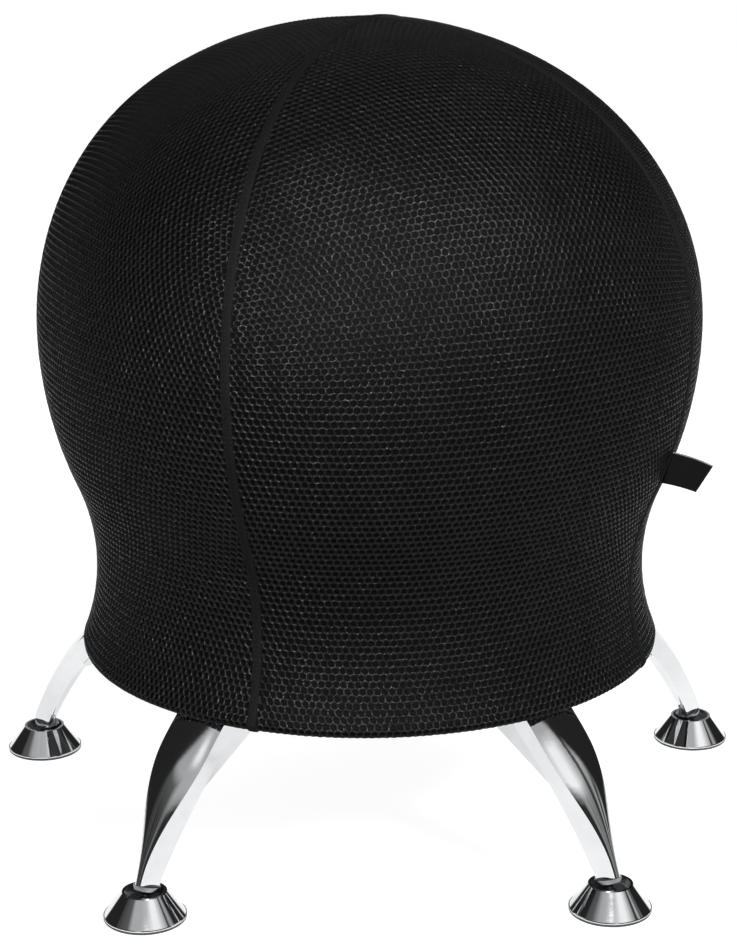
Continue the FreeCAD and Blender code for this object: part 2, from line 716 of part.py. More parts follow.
def make_bracket(index):
    """A leg's bracket: a bolted flange and a folded tongue that stands in the leg's channel."""
    body = new_body(f"leg_bracket_{NAMED_LEGS[index]}")
    stem = f"bracket_{index}"
    root = "tongue_root_radius"
    reach = size("tongue_reach")
    tip_depth = size("leg_depth + tongue_stand_out")
    low = along_leg(reach, tip_depth)
    high = along_leg(reach, tip_depth - size("tongue_tip_width"))
    outer = "pad_outer_end"
    face = f"{FLANGE_UNDERSIDE} + flange_thickness / 2"
    knee = (f"{root} + tongue_sheet", f"{FLANGE_UNDERSIDE} - tongue_knee_drop")
    side = [
        (root, FLANGE_UNDERSIDE),
        knee,
        (low.x, low.z),
        (high.x, high.z),
        (outer, FLANGE_UNDERSIDE),
        (outer, face),
        (root, face),
    ]
    bend = "tongue_tip_width / 2 + running_fit"
    extruded(body, f"{stem}_tongue", side, "tongue_half_width * 2", {2: (bend, 1)})
    start = Vector(size(knee[0]), size(knee[1]), 0)
    edge = (Vector(low.x, low.z, 0) - start).normalize()
    sheet = size("tongue_sheet")
    up = Vector(-edge.y, edge.x, 0) * sheet
    knee_in = start + up + edge * (sheet / edge.x)
    low_in = Vector(low.x, low.z, 0) + up - edge * (size("tongue_tip_width") / 2)
    high_in = Vector(high.x, high.z, 0) + up * 0.5
    room = [
        (f"{root} + tongue_sheet", FLANGE_UNDERSIDE),
        (knee_in.x, knee_in.y),
        (low_in.x, low_in.y),
        (high_in.x, high_in.y + sheet),
        (f"{outer} + pad_outer_end / 4", FLANGE_UNDERSIDE),
    ]
    extruded(body, f"{stem}_fold", room, "(tongue_half_width - tongue_sheet) * 2", kind="Pocket")
    flange = [
        ("pad_inner_end", "-flange_half_width"),
        (outer, "-flange_half_width"),
        (outer, "flange_half_width"),
        ("pad_inner_end", "flange_half_width"),
    ]
    plate = extruded(body, f"{stem}_flange", flange, "flange_thickness", plane="XY_Plane", middle=False)
    raise_sketch(plate, FLANGE_UNDERSIDE)
    places = [
        ("bolt_inner_radius", "-bolt_half_spacing"),
        ("bolt_inner_radius", "bolt_half_spacing"),
        ("bolt_outer_radius", "0"),
    ]
    round_hole(body, f"{stem}_holes", places, "bolt_hole", f"{MOUNT_HEIGHT} + flange_thickness",
               "flange_thickness * 3")
    body.Placement = at_leg(index)
    return body


def make_sleeve(index):
    """The threaded sleeve welded into a leg's foot end."""
    body = new_body(f"stud_sleeve_{NAMED_LEGS[index]}")
    low = f"{COLLAR_TOP} + fabric_gap"
    bore = "stud_shank_radius + running_fit"
    corners = [
        (bore, low),
        ("sleeve_radius", low),
        ("sleeve_radius", f"{low} + sleeve_length"),
        (bore, f"{low} + sleeve_length"),
    ]
    turned(body, f"sleeve_{index}", corners)
    body.Placement = at_leg(index) * stud_place()
    return body


# The swivel glides

def make_stud(index):
    """The stud: ball head, neck, collar and threaded shank."""
    body = new_body(f"ball_stud_{NAMED_LEGS[index]}")
    throat = "sqrt(stud_ball_radius^2 - stud_neck_radius^2)"
    top = f"{COLLAR_TOP} + stud_shank_length"
    corners = [
        ("0", "-stud_ball_radius"),
        ("stud_ball_radius", "0"),
        ("stud_neck_radius", throat),
        ("stud_neck_radius", "collar_offset"),
        ("collar_radius - collar_edge", "collar_offset"),
        ("collar_radius", "collar_offset + collar_edge"),
        ("collar_radius", f"{COLLAR_TOP} - collar_edge"),
        ("collar_radius - collar_edge", COLLAR_TOP),
        ("stud_shank_radius", COLLAR_TOP),
        ("stud_shank_radius", f"{top} - collar_edge"),
        ("stud_shank_radius - collar_edge", top),
        ("0", top),
    ]
    turned(body, f"stud_{index}", corners, {0: ("stud_ball_radius", 1), 1: ("stud_ball_radius", 1)})
    body.Placement = at_leg(index) * stud_place()
    return body


def make_socket(index):
    """The nylon socket that snaps over the stud's ball."""
    body = new_body(f"glide_socket_{NAMED_LEGS[index]}")
    hollow = "(stud_ball_radius + running_fit)"
    low = "pad_thickness + running_fit"
    high = "stud_ball_height + socket_cover"
    corners = [
        ("0", low),
        ("socket_radius", low),
        ("socket_radius", high),
        (f"sqrt({hollow}^2 - socket_cover^2)", high),
        (hollow, "stud_ball_height"),
        ("0", f"stud_ball_height - {hollow}"),
    ]
    turned(body, f"socket_{index}", corners, {3: (hollow, -1), 4: (hollow, -1)})
    body.Placement = at_leg(index, Vector(size("stance_radius"), 0, 0))
    return body


CONE_SLOPE = "((cone_foot_radius - cone_top_radius) / (cone_top_height - pad_thickness - bead_height))"


def make_cone(index):
    """The chrome cone with a bead at its foot and an open top."""
    body = new_body(f"glide_cone_{NAMED_LEGS[index]}")
    inner_foot = f"cone_foot_radius + bead_height * {CONE_SLOPE} - cone_wall"
    corners = [
        (inner_foot, "pad_thickness"),
        ("pad_radius - bead_height / 4", "pad_thickness"),
        ("pad_radius", "pad_thickness + bead_height / 4"),
        ("pad_radius", "pad_thickness + bead_height * 3 / 4"),
        ("cone_foot_radius", "pad_thickness + bead_height"),
        ("cone_top_radius", "cone_top_height"),
        ("cone_top_radius - cone_wall", "cone_top_height"),
    ]
    turned(body, f"cone_{index}", corners)
    body.Placement = at_leg(index, Vector(size("stance_radius"), 0, 0))
    return body


def make_pad(index):
    """The foot pad with the step that centres the cone and the ring that holds the socket."""
    body = new_body(f"glide_pad_{NAMED_LEGS[index]}")
    step_foot = f"cone_foot_radius + bead_height * {CONE_SLOPE} - cone_wall - fabric_gap"
    step_top = f"{step_foot} - pad_step * {CONE_SLOPE}"
    ring = "(socket_radius + running_fit)"
    corners = [
        ("0", "0"),
        ("pad_radius - pad_edge", "0"),
        ("pad_radius", "pad_edge"),
        ("pad_radius", "pad_thickness"),
        (step_foot, "pad_thickness"),
        (step_top, "pad_thickness + pad_step"),
        (f"{ring} + pad_ring_wall", "pad_thickness + pad_step"),
        (f"{ring} + pad_ring_wall", "pad_thickness + pad_ring_height"),
        (ring, "pad_thickness + pad_ring_height"),
        (ring, "pad_thickness"),
        ("0", "pad_thickness"),
    ]
    turned(body, f"pad_{index}", corners)
    body.Placement = at_leg(index, Vector(size("stance_radius"), 0, 0))
    return body


# Fasteners

def fastener_places():
    """Where the bolts stand: three for each leg, at the height where flange and tub meet."""
    places = []
    height = size(MOUNT_HEIGHT)
    inner = size("bolt_inner_radius")
    spread = size("bolt_half_spacing")
    for index in range(len(NAMED_LEGS)):
        for across, along in ((inner, -spread), (inner, spread), (size("bolt_outer_radius"), 0)):
            places.append(at_leg(index, Vector(across, along, height)))
    return places


def make_bolts():
    """Button-head bolts with hexagon sockets, heads down."""
    body = new_body("one_bolt")
    head_top = "-flange_thickness - washer_thickness"
    head_low = f"{head_top} - bolt_head_height"
    corners = [
        ("0", head_low),
        ("bolt_head_radius * 0.6", head_low),
        ("bolt_head_radius", f"{head_top} - bolt_head_height / 4"),
        ("bolt_head_radius", head_top),
        ("bolt_radius", head_top),
        ("bolt_radius", "bolt_grip"),
        ("0", "bolt_grip"),
    ]
    turned(body, "bolt_form", corners, {1: ("bolt_head_radius", 1)})
    hexagon = []
    for step in range(6):
        angle = f"{60 * step} deg"
        hexagon.append((f"bolt_socket * cos({angle})", f"bolt_socket * sin({angle})"))
    socket = extruded(body, "bolt_socket_cut", hexagon, "bolt_head_height * 0.6", plane="XY_Plane",
                      kind="Pocket", middle=False, reverse=True)
    raise_sketch(socket, head_low)
    return group("leg_bolts", body, fastener_places())


def make_rings(name, bore, radius, low, high):
    """A group of plain rings at the bolts: washers or inserts."""
    body = new_body(f"one_of_{name}")
    turned(body, f"{name}_ring", [(bore, low), (radius, low), (radius, high), (bore, high)])
    return group(name, body, fastener_places())


def make_chair():
    """Every sub-part, in the order of the chair's build-up from ball to floor."""
    subparts = [make_ball(), make_valve_plug()]
    subparts += make_cover()
    subparts += [make_hem_cord(), make_hem_binding(), make_tag(), make_tub(), make_cradle()]
    subparts += make_leg_shells()
    for index in range(len(NAMED_LEGS)):
        subparts += [make_bracket(index), make_sleeve(index), make_stud(index)]
        subparts += [make_socket(index), make_cone(index), make_pad(index)]
    washer_low = "-flange_thickness - washer_thickness"
    insert_bore = "bolt_radius + running_fit"
    subparts.append(make_bolts())
    rings = [
        ("leg_washers", "bolt_hole", "washer_radius", washer_low, "-flange_thickness"),
        ("threaded_inserts", insert_bore, "insert_radius", "0", "insert_length"),
    ]
    subparts += [make_rings(*ring) for ring in rings]
    doc.recompute()
    return subparts


subparts = make_chair()

for item in doc.Objects:
    if "Invalid" in item.State or "Error" in item.State:
        raise RuntimeError(f"{item.Name} failed to build: {item.State}")
os.makedirs("parts", exist_ok=True)
for subpart in subparts:
    shape = subpart.Shape
    if shape.isNull() or not shape.isValid():
        raise RuntimeError(f"{subpart.Label} has no valid shape")
    shape.exportStep(f"parts/{subpart.Label}.step")
    print(subpart.Label, len(shape.Solids), round(shape.Volume))
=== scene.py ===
"""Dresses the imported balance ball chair: mesh cover, seams, tag, ball, foam, bright horns and feet."""

import logging
import math
from collections.abc import Callable, Sequence
from dataclasses import dataclass, field
from enum import Enum
from functools import cache

import bpy
import numpy as np
from mathutils import Matrix, Vector


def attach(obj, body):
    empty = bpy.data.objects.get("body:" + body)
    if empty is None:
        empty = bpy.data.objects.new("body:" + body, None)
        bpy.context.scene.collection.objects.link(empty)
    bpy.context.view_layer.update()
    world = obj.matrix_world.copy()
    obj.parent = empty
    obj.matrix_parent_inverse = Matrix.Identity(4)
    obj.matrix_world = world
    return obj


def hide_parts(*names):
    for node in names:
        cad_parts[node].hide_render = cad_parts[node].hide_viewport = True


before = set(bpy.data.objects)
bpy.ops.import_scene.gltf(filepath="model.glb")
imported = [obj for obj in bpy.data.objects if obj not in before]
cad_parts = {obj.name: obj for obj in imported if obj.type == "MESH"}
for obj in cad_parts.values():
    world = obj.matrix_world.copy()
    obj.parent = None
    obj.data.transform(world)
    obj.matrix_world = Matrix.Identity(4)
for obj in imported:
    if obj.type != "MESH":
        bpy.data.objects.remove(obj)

LOG = logging.getLogger("ball_chair")
MM = 0.001
QUARTER = math.pi / 2
SIDES = 6  # of a hole in the knit, and of a thread
PANELS = ("rear_right", "rear_left", "front_left", "front_right")
SEAMS = ("right", "rear", "left", "front")
Socket = bpy.types.NodeSocket
Node = bpy.types.Node
Tree = bpy.types.NodeTree
Piece = bpy.types.Object


# Node wiring

def put(tree: Tree, kind: str, values: dict | None = None, **settings: object) -> Node:
    """Adds a node to a tree.

    Args:
        tree: The material's or the group's tree.
        kind: The node's type, without the ShaderNode in front.
        values: Input name or number to a plain value, or to the socket that feeds it.
        settings: The node's own settings.

    Returns:
        The new node.
    """
    node = tree.nodes.new("ShaderNode" + kind)
    for name, value in settings.items():
        setattr(node, name, value)
    for name, value in (values or {}).items():
        if isinstance(value, Socket):
            tree.links.new(value, node.inputs[name])
        else:
            node.inputs[name].default_value = value
    return node


def maths(tree: Tree, job: str, *terms: float | Socket, clamp: bool = False) -> Socket:
    """One sum on single values; job is the Math node's operation."""
    return put(tree, "Math", dict(enumerate(terms)), operation=job, use_clamp=clamp).outputs[0]


def spread(tree: Tree, value: Socket, low: float, high: float, start: float, end: float) -> Socket:
    """The value, from low..high to start..end, clamped."""
    values = {"Value": value, "From Min": low, "From Max": high, "To Min": start, "To Max": end}
    return put(tree, "MapRange", values).outputs[0]


def blended(tree: Tree, share: Socket, first: Sequence[float], second: Sequence[float]) -> Socket:
    """The colour that goes from first to second as share goes from 0 to 1."""
    return put(tree, "Mix", {0: share, 6: (*first, 1), 7: (*second, 1)}, data_type="RGBA").outputs[2]


def group_tree(name: str, inputs: dict[str, float | None], outputs: Sequence[str]) -> tuple[Tree, Node, Node]:
    """Starts a node group.

    Args:
        name: The group's name.
        inputs: Each input's name and plain value; None makes a vector input.
        outputs: The names of its single-value outputs.

    Returns:
        The group's tree, its input node and its output node.
    """
    tree = bpy.data.node_groups.new(name, "ShaderNodeTree")
    for label, value in inputs.items():
        kind = "NodeSocketVector" if value is None else "NodeSocketFloat"
        socket = tree.interface.new_socket(label, in_out="INPUT", socket_type=kind)
        if value is not None:
            socket.default_value = value
    for label in outputs:
        tree.interface.new_socket(label, in_out="OUTPUT", socket_type="NodeSocketFloat")
    return tree, tree.nodes.new("NodeGroupInput"), tree.nodes.new("NodeGroupOutput")


@cache
def scuff_group() -> Tree:
    """Fine hairline scratches and soft smudges, as on handled metal."""
    tree, given, out = group_tree("hairlines_and_smudges", {"Place": None, "Scratches": 60.0, "Smudges": 9.0},
                                  ("Scratch", "Smudge"))
    lines, hair, stretch = None, 0.018, (1.0, 18.0, 18.0)
    for turn, wander in (((0.3, 0.2, 0.7), 0.35), ((1.2, 0.9, 2.1), 0.6)):
        turned = put(tree, "Mapping", {0: given.outputs["Place"], "Rotation": turn, "Scale": stretch})
        noise = put(tree, "TexNoise", {"Vector": turned.outputs[0], "Scale": given.outputs["Scratches"],
                                       "Detail": 2.0, "Distortion": wander})
        ridge = maths(tree, "ABSOLUTE", maths(tree, "SUBTRACT", noise.outputs[0], 0.5))
        line = spread(tree, ridge, 0.0, hair, 1.0, 0.0)
        lines = line if lines is None else maths(tree, "MAXIMUM", lines, line)
    patch = put(tree, "TexNoise", {"Vector": given.outputs["Place"], "Scale": given.outputs["Smudges"],
                                   "Detail": 4.0, "Roughness": 0.6})
    patches = spread(tree, patch.outputs[0], 0.42, 0.68, 0.0, 1.0)
    tree.links.new(maths(tree, "MULTIPLY", lines, patches), out.inputs["Scratch"])
    tree.links.new(patches, out.inputs["Smudge"])
    return tree


@cache
def grain_group() -> Tree:
    """The fine pebble of a moulded or foamed surface."""
    tree, given, out = group_tree("pebble_grain", {"Place": None, "Size": 900.0}, ("Height", "Tone"))
    pebbles = put(tree, "TexVoronoi", {"Vector": given.outputs["Place"], "Scale": given.outputs["Size"]})
    fine = put(tree, "TexNoise", {"Vector": given.outputs["Place"], "Scale": given.outputs["Size"], "Detail": 3.0})
    height = maths(tree, "ADD", pebbles.outputs["Distance"], fine.outputs[0])
    broad = put(tree, "TexNoise", {"Vector": given.outputs["Place"], "Scale": 14.0, "Detail": 5.0})
    tree.links.new(height, out.inputs["Height"])
    tree.links.new(spread(tree, broad.outputs[0], 0.35, 0.65, 0.0, 1.0), out.inputs["Tone"])
    return tree


@cache
def yarn_group() -> Tree:
    """Twisted filaments: slanted ridges over a fine fuzz, with a few brighter fibres."""
    tree, given, out = group_tree("twisted_yarn", {"Place": None, "Twist": 2600.0, "Fuzz": 1500.0},
                                  ("Height", "Tone", "Glint"))
    ridges = []
    for turn in (0.62, -0.62):
        slant = put(tree, "Mapping", {0: given.outputs["Place"], "Rotation": (0.0, 0.4, turn)})
        wave = put(tree, "TexWave", {"Vector": slant.outputs[0], "Scale": given.outputs["Twist"], "Distortion": 1.6,
                                     "Detail": 1.0}, bands_direction="X")
        ridges.append(wave.outputs[1])
    fuzz = put(tree, "TexNoise", {"Vector": given.outputs["Place"], "Scale": given.outputs["Fuzz"], "Detail": 3.0})
    both = maths(tree, "ADD", ridges[0], ridges[1])
    tree.links.new(maths(tree, "ADD", both, fuzz.outputs[0]), out.inputs["Height"])
    patch = put(tree, "TexNoise", {"Vector": given.outputs["Place"], "Scale": 38.0, "Detail": 4.0})
    tone = maths(tree, "MULTIPLY", spread(tree, patch.outputs[0], 0.3, 0.7, 0.55, 1.0), fuzz.outputs[0])
    tree.links.new(spread(tree, tone, 0.2, 0.6, 0.0, 1.0), out.inputs["Tone"])
    tree.links.new(spread(tree, fuzz.outputs[0], 0.62, 0.74, 0.0, 1.0), out.inputs["Glint"])
    return tree


# Finishes

@dataclass(frozen=True)
class Finish:
    """What every finish has: a name, two colours it varies between, and its gloss."""

    name: str
    dark: tuple[float, float, float]
    light: tuple[float, float, float]
    roughness: tuple[float, float]
    metallic: float = 0.0
    bump: float = 0.1
    depth: float = 0.05 * MM
    specular: float = 0.5

    def effect(self, tree: Tree, place: Socket) -> tuple[Socket, Socket, Socket]:
        """Returns the sockets for the colour's share, the roughness's share and the height."""
        raise NotImplementedError

    def make(self) -> bpy.types.Material:
        """Returns the finish as a material, made at its first use."""
        made = bpy.data.materials.get(self.name)
        if made is not None:
            return made
        made = bpy.data.materials.new(self.name)
        made.use_nodes = True
        tree = made.node_tree
        tree.nodes.clear()
        place = put(tree, "TexCoord").outputs["Object"]
        tone, gloss, height = self.effect(tree, place)
        bump = put(tree, "Bump", {"Strength": self.bump, "Distance": self.depth, "Height": height})
        shader = put(tree, "BsdfPrincipled", {
            "Base Color": blended(tree, tone, self.dark, self.light),
            "Roughness": spread(tree, gloss, 0.0, 1.0, *self.roughness),
            "Metallic": self.metallic,
            "Specular IOR Level": self.specular,
            "Normal": bump.outputs[0],
        })
        output = put(tree, "OutputMaterial", {"Surface": shader.outputs[0]})
        made.diffuse_color = (*self.light, 1)
        tree.nodes.active = output
        return made


@dataclass(frozen=True)
class Metal(Finish):
    """Plated or machined metal with hairlines, smudges and duller rubbed places."""

    metallic: float = 1.0
    scratches: float = 60.0
    smudges: float = 9.0

    def effect(self, tree: Tree, place: Socket) -> tuple[Socket, Socket, Socket]:
        """Returns the sockets for the colour's share, the roughness's share and the height."""
        values = {"Place": place, "Scratches": self.scratches, "Smudges": self.smudges}
        scuffs = put(tree, "Group", values, node_tree=scuff_group())
        clean = maths(tree, "SUBTRACT", 1.0, maths(tree, "MULTIPLY", scuffs.outputs["Smudge"], 0.6))
        gloss = maths(tree, "ADD", maths(tree, "MULTIPLY", scuffs.outputs["Smudge"], 0.5),
                      maths(tree, "MULTIPLY", scuffs.outputs["Scratch"], 0.5))
        return clean, gloss, maths(tree, "SUBTRACT", 1.0, scuffs.outputs["Scratch"])


@dataclass(frozen=True)
class Moulded(Finish):
    """Moulded plastic, rubber, vinyl or foam with a pebble grain and paler rubbed edges."""

    grain: float = 900.0
    rubbed: float = 0.6 * MM

    def effect(self, tree: Tree, place: Socket) -> tuple[Socket, Socket, Socket]:
        """Returns the sockets for the colour's share, the roughness's share and the height."""
        grain = put(tree, "Group", {"Place": place, "Size": self.grain}, node_tree=grain_group())
        rounded = put(tree, "Bevel", {"Radius": self.rubbed}, samples=4).outputs[0]
        flat = put(tree, "NewGeometry").outputs["Normal"]
        along = put(tree, "VectorMath", {0: rounded, 1: flat}, operation="DOT_PRODUCT").outputs["Value"]
        edge = spread(tree, along, 0.90, 0.995, 1.0, 0.0)
        tone = maths(tree, "ADD", maths(tree, "MULTIPLY", grain.outputs["Tone"], 0.45), edge, clamp=True)
        gloss = maths(tree, "SUBTRACT", 1.0, maths(tree, "MULTIPLY", tone, 0.7))
        return tone, gloss, grain.outputs["Height"]


@dataclass(frozen=True)
class Yarn(Finish):
    """Polyester yarn, in a knit, a woven tape or a thread."""

    twist: float = 2600.0
    fuzz: float = 1500.0

    def effect(self, tree: Tree, place: Socket) -> tuple[Socket, Socket, Socket]:
        """Returns the sockets for the colour's share, the roughness's share and the height."""
        yarn = put(tree, "Group", {"Place": place, "Twist": self.twist, "Fuzz": self.fuzz}, node_tree=yarn_group())
        gloss = maths(tree, "SUBTRACT", 1.0, yarn.outputs["Glint"])
        return yarn.outputs["Tone"], gloss, yarn.outputs["Height"]


class Finishes(Enum):
    """The chair's finishes."""

    STRAND = Yarn("knit_strand", (0.0028, 0.0028, 0.0029), (0.018, 0.018, 0.0184), (0.10, 0.24), bump=0.35,
                  depth=0.14 * MM, specular=0.10)
    # The hole walls are coloured several times darker than the strands of the same yarn: painted shade inside the
    # holes.
    WALL = Yarn("knit_wall_painted_shade", (0.0006, 0.0006, 0.0006), (0.0024, 0.0024, 0.0025), (0.35, 0.6), bump=0.4,
                depth=0.12 * MM, specular=0.04)
    # The knit's inner face is coloured darker than the strands of the same yarn: painted shade at the bottom of the
    # holes.
    GROUND_PAINTED_SHADE = Yarn("knit_ground_painted_shade", (0.0011, 0.0011, 0.0011), (0.0042, 0.0042, 0.0043), (0.4, 0.6), bump=0.25,
                  depth=0.1 * MM, specular=0.02)
    TAPE = Yarn("seam_tape", (0.004, 0.004, 0.0042), (0.011, 0.011, 0.0114), (0.5, 0.72), bump=0.4,
                depth=0.1 * MM, twist=1800.0, specular=0.05)
    THREAD = Yarn("sewing_thread", (0.005, 0.005, 0.0052), (0.014, 0.014, 0.0144), (0.4, 0.6), bump=0.3,
                  depth=0.06 * MM, twist=4200.0, specular=0.06)
    BINDING = Yarn("hem_tape", (0.007, 0.007, 0.0075), (0.018, 0.018, 0.0188), (0.55, 0.8), bump=0.4,
                   depth=0.12 * MM, twist=1500.0, specular=0.3)
    CORD = Yarn("hem_cord_braid", (0.01, 0.01, 0.0105), (0.03, 0.03, 0.031), (0.5, 0.7), bump=0.4, twist=1900.0)
    SATIN = Yarn("tag_satin", (0.003, 0.003, 0.0033), (0.008, 0.008, 0.0084), (0.36, 0.5), bump=0.15,
                 depth=0.03 * MM, twist=5200.0, specular=0.05)
    SELVEDGE = Yarn("tag_selvedge", (0.16, 0.16, 0.165), (0.42, 0.42, 0.43), (0.5, 0.7), bump=0.3,
                    depth=0.05 * MM, twist=3600.0)
    VINYL = Moulded("ball_vinyl", (0.022, 0.022, 0.024), (0.045, 0.045, 0.048), (0.36, 0.55), bump=0.12,
                    grain=1300.0, specular=0.45)
    FOAM = Moulded("cradle_foam", (0.05, 0.05, 0.053), (0.13, 0.13, 0.136), (0.85, 1.0), bump=0.7,
                   depth=0.5 * MM, grain=700.0, specular=0.15)
    TUB = Moulded("tub_plastic", (0.011, 0.011, 0.0115), (0.03, 0.03, 0.031), (0.34, 0.6), bump=0.22,
                  depth=0.08 * MM, grain=1100.0)
    NYLON = Moulded("socket_nylon", (0.06, 0.06, 0.062), (0.14, 0.14, 0.144), (0.2, 0.36), bump=0.1,
                    grain=1600.0, rubbed=0.3 * MM)
    PAD = Moulded("pad_plastic", (0.05, 0.051, 0.054), (0.12, 0.122, 0.128), (0.24, 0.42), bump=0.1,
                  grain=1500.0, rubbed=0.4 * MM)
    PLUG = Moulded("plug_plastic", (0.62, 0.61, 0.58), (0.80, 0.80, 0.78), (0.3, 0.5), bump=0.1, grain=1500.0,
                   rubbed=0.3 * MM)
    CHROME = Metal("bright_chrome", (0.60, 0.61, 0.63), (0.76, 0.77, 0.78), (0.035, 0.16), bump=0.05,
                   depth=0.02 * MM)
    PLATE = Metal("bracket_plate", (0.54, 0.55, 0.57), (0.72, 0.73, 0.74), (0.07, 0.22), bump=0.1,
                  depth=0.03 * MM, scratches=90.0)
    ZINC = Metal("zinc_plate", (0.46, 0.47, 0.50), (0.68, 0.69, 0.71), (0.2, 0.42), bump=0.12, depth=0.03 * MM,
                 scratches=160.0, smudges=40.0)
    STEEL = Metal("stud_steel", (0.12, 0.122, 0.13), (0.30, 0.305, 0.315), (0.16, 0.36), bump=0.12,
                  depth=0.03 * MM, scratches=160.0, smudges=40.0)
    BRASS = Metal("turned_brass", (0.52, 0.37, 0.15), (0.80, 0.62, 0.32), (0.2, 0.4), bump=0.12,
                  depth=0.03 * MM, scratches=200.0, smudges=60.0)


# Mesh making

def solid_object(name: str, points: np.ndarray, faces: list, finishes: Sequence[Finishes],
                 slots: Sequence[int] | None = None, chart: np.ndarray | None = None) -> Piece:
    """Makes a smooth-shaded mesh object.

    Args:
        name: The piece's name.
        points: Its vertices, in metres.
        faces: Vertex numbers of each face.
        finishes: Its material slots, in order.
        slots: Each face's slot; all the first where it is left out.
        chart: A flat place for each vertex, kept as a UV map.

    Returns:
        The object, in the scene.
    """
    mesh = bpy.data.meshes.new(name)
    mesh.from_pydata(points, [], faces)
    if slots is not None:
        mesh.polygons.foreach_set("material_index", np.asarray(slots, np.int32))
    mesh.polygons.foreach_set("use_smooth", np.ones(len(mesh.polygons), bool))
    if chart is not None:
        corners = np.zeros(len(mesh.loops), np.int32)
        mesh.loops.foreach_get("vertex_index", corners)
        mesh.uv_layers.new(name="Cloth").data.foreach_set("uv", chart[corners].astype(np.float32).ravel())
    mesh.update()
    for finish in finishes:
        mesh.materials.append(finish.value.make())
    piece = bpy.data.objects.new(name, mesh)
    bpy.context.scene.collection.objects.link(piece)
    return piece


def band_faces(rings: int, around: int, closed: bool = True, start: int = 0, looped: bool = False) -> list:
    """Quads between rings of vertices.

    Args:
        rings: How many rings there are.
        around: Vertices in a ring.
        closed: Whether a ring's last vertex joins its first.
        start: The number of the first vertex.
        looped: Whether the last ring joins the first.

    Returns:
        The faces.
    """
    faces = []
    for ring in range(rings if looped else rings - 1):
        here, there = start + ring * around, start + ((ring + 1) % rings) * around
        for step in range(around if closed else around - 1):
            after = (step + 1) % around
            faces.append((here + step, here + after, there + after, there + step))
    return faces


def turned_object(name: str, profile: np.ndarray, steps: int, finish: Finishes,
                  wobble: Callable[[np.ndarray, np.ndarray], np.ndarray] | None = None,
                  closed: bool = False, shape: Callable[..., np.ndarray] | None = None) -> Piece:
    """Spins a profile round the chair's axis.

    Args:
        name: The piece's name.
        profile: Rows of radius and height, in metres, from outside bottom upward.
        steps: Places round the axis.
        finish: The piece's finish.
        wobble: Extra radius from the angle and the profile's row number.
        closed: Whether the profile's last point joins its first.
        shape: Turns radius, height and angle into points; a plain round form where it is left out.

    Returns:
        The object.
    """
    angle = np.linspace(0, 2 * math.pi, steps, endpoint=False)
    turn, row = np.meshgrid(angle, np.arange(len(profile)))
    radius = profile[:, :1] + (wobble(turn, row) if wobble else 0.0)
    height = np.repeat(profile[:, 1:], steps, 1)
    round_form = np.stack([radius * np.cos(turn), radius * np.sin(turn), height], -1)
    points = shape(radius, height, turn) if shape else round_form
    faces = band_faces(len(profile), steps, looped=closed)
    return solid_object(name, points.reshape(-1, 3), faces, [finish])


def arc(centre: tuple[float, float], radius: float, start: float, end: float, step: float) -> np.ndarray:
    """Rows of radius and height along an arc; angles in degrees, step in metres."""
    count = max(3, int(abs(math.radians(end - start)) * radius / step) + 1)
    angle = np.radians(np.linspace(start, end, count))
    return np.stack([centre[0] + radius * np.cos(angle), centre[1] + radius * np.sin(angle)], -1)


# The mesh cover

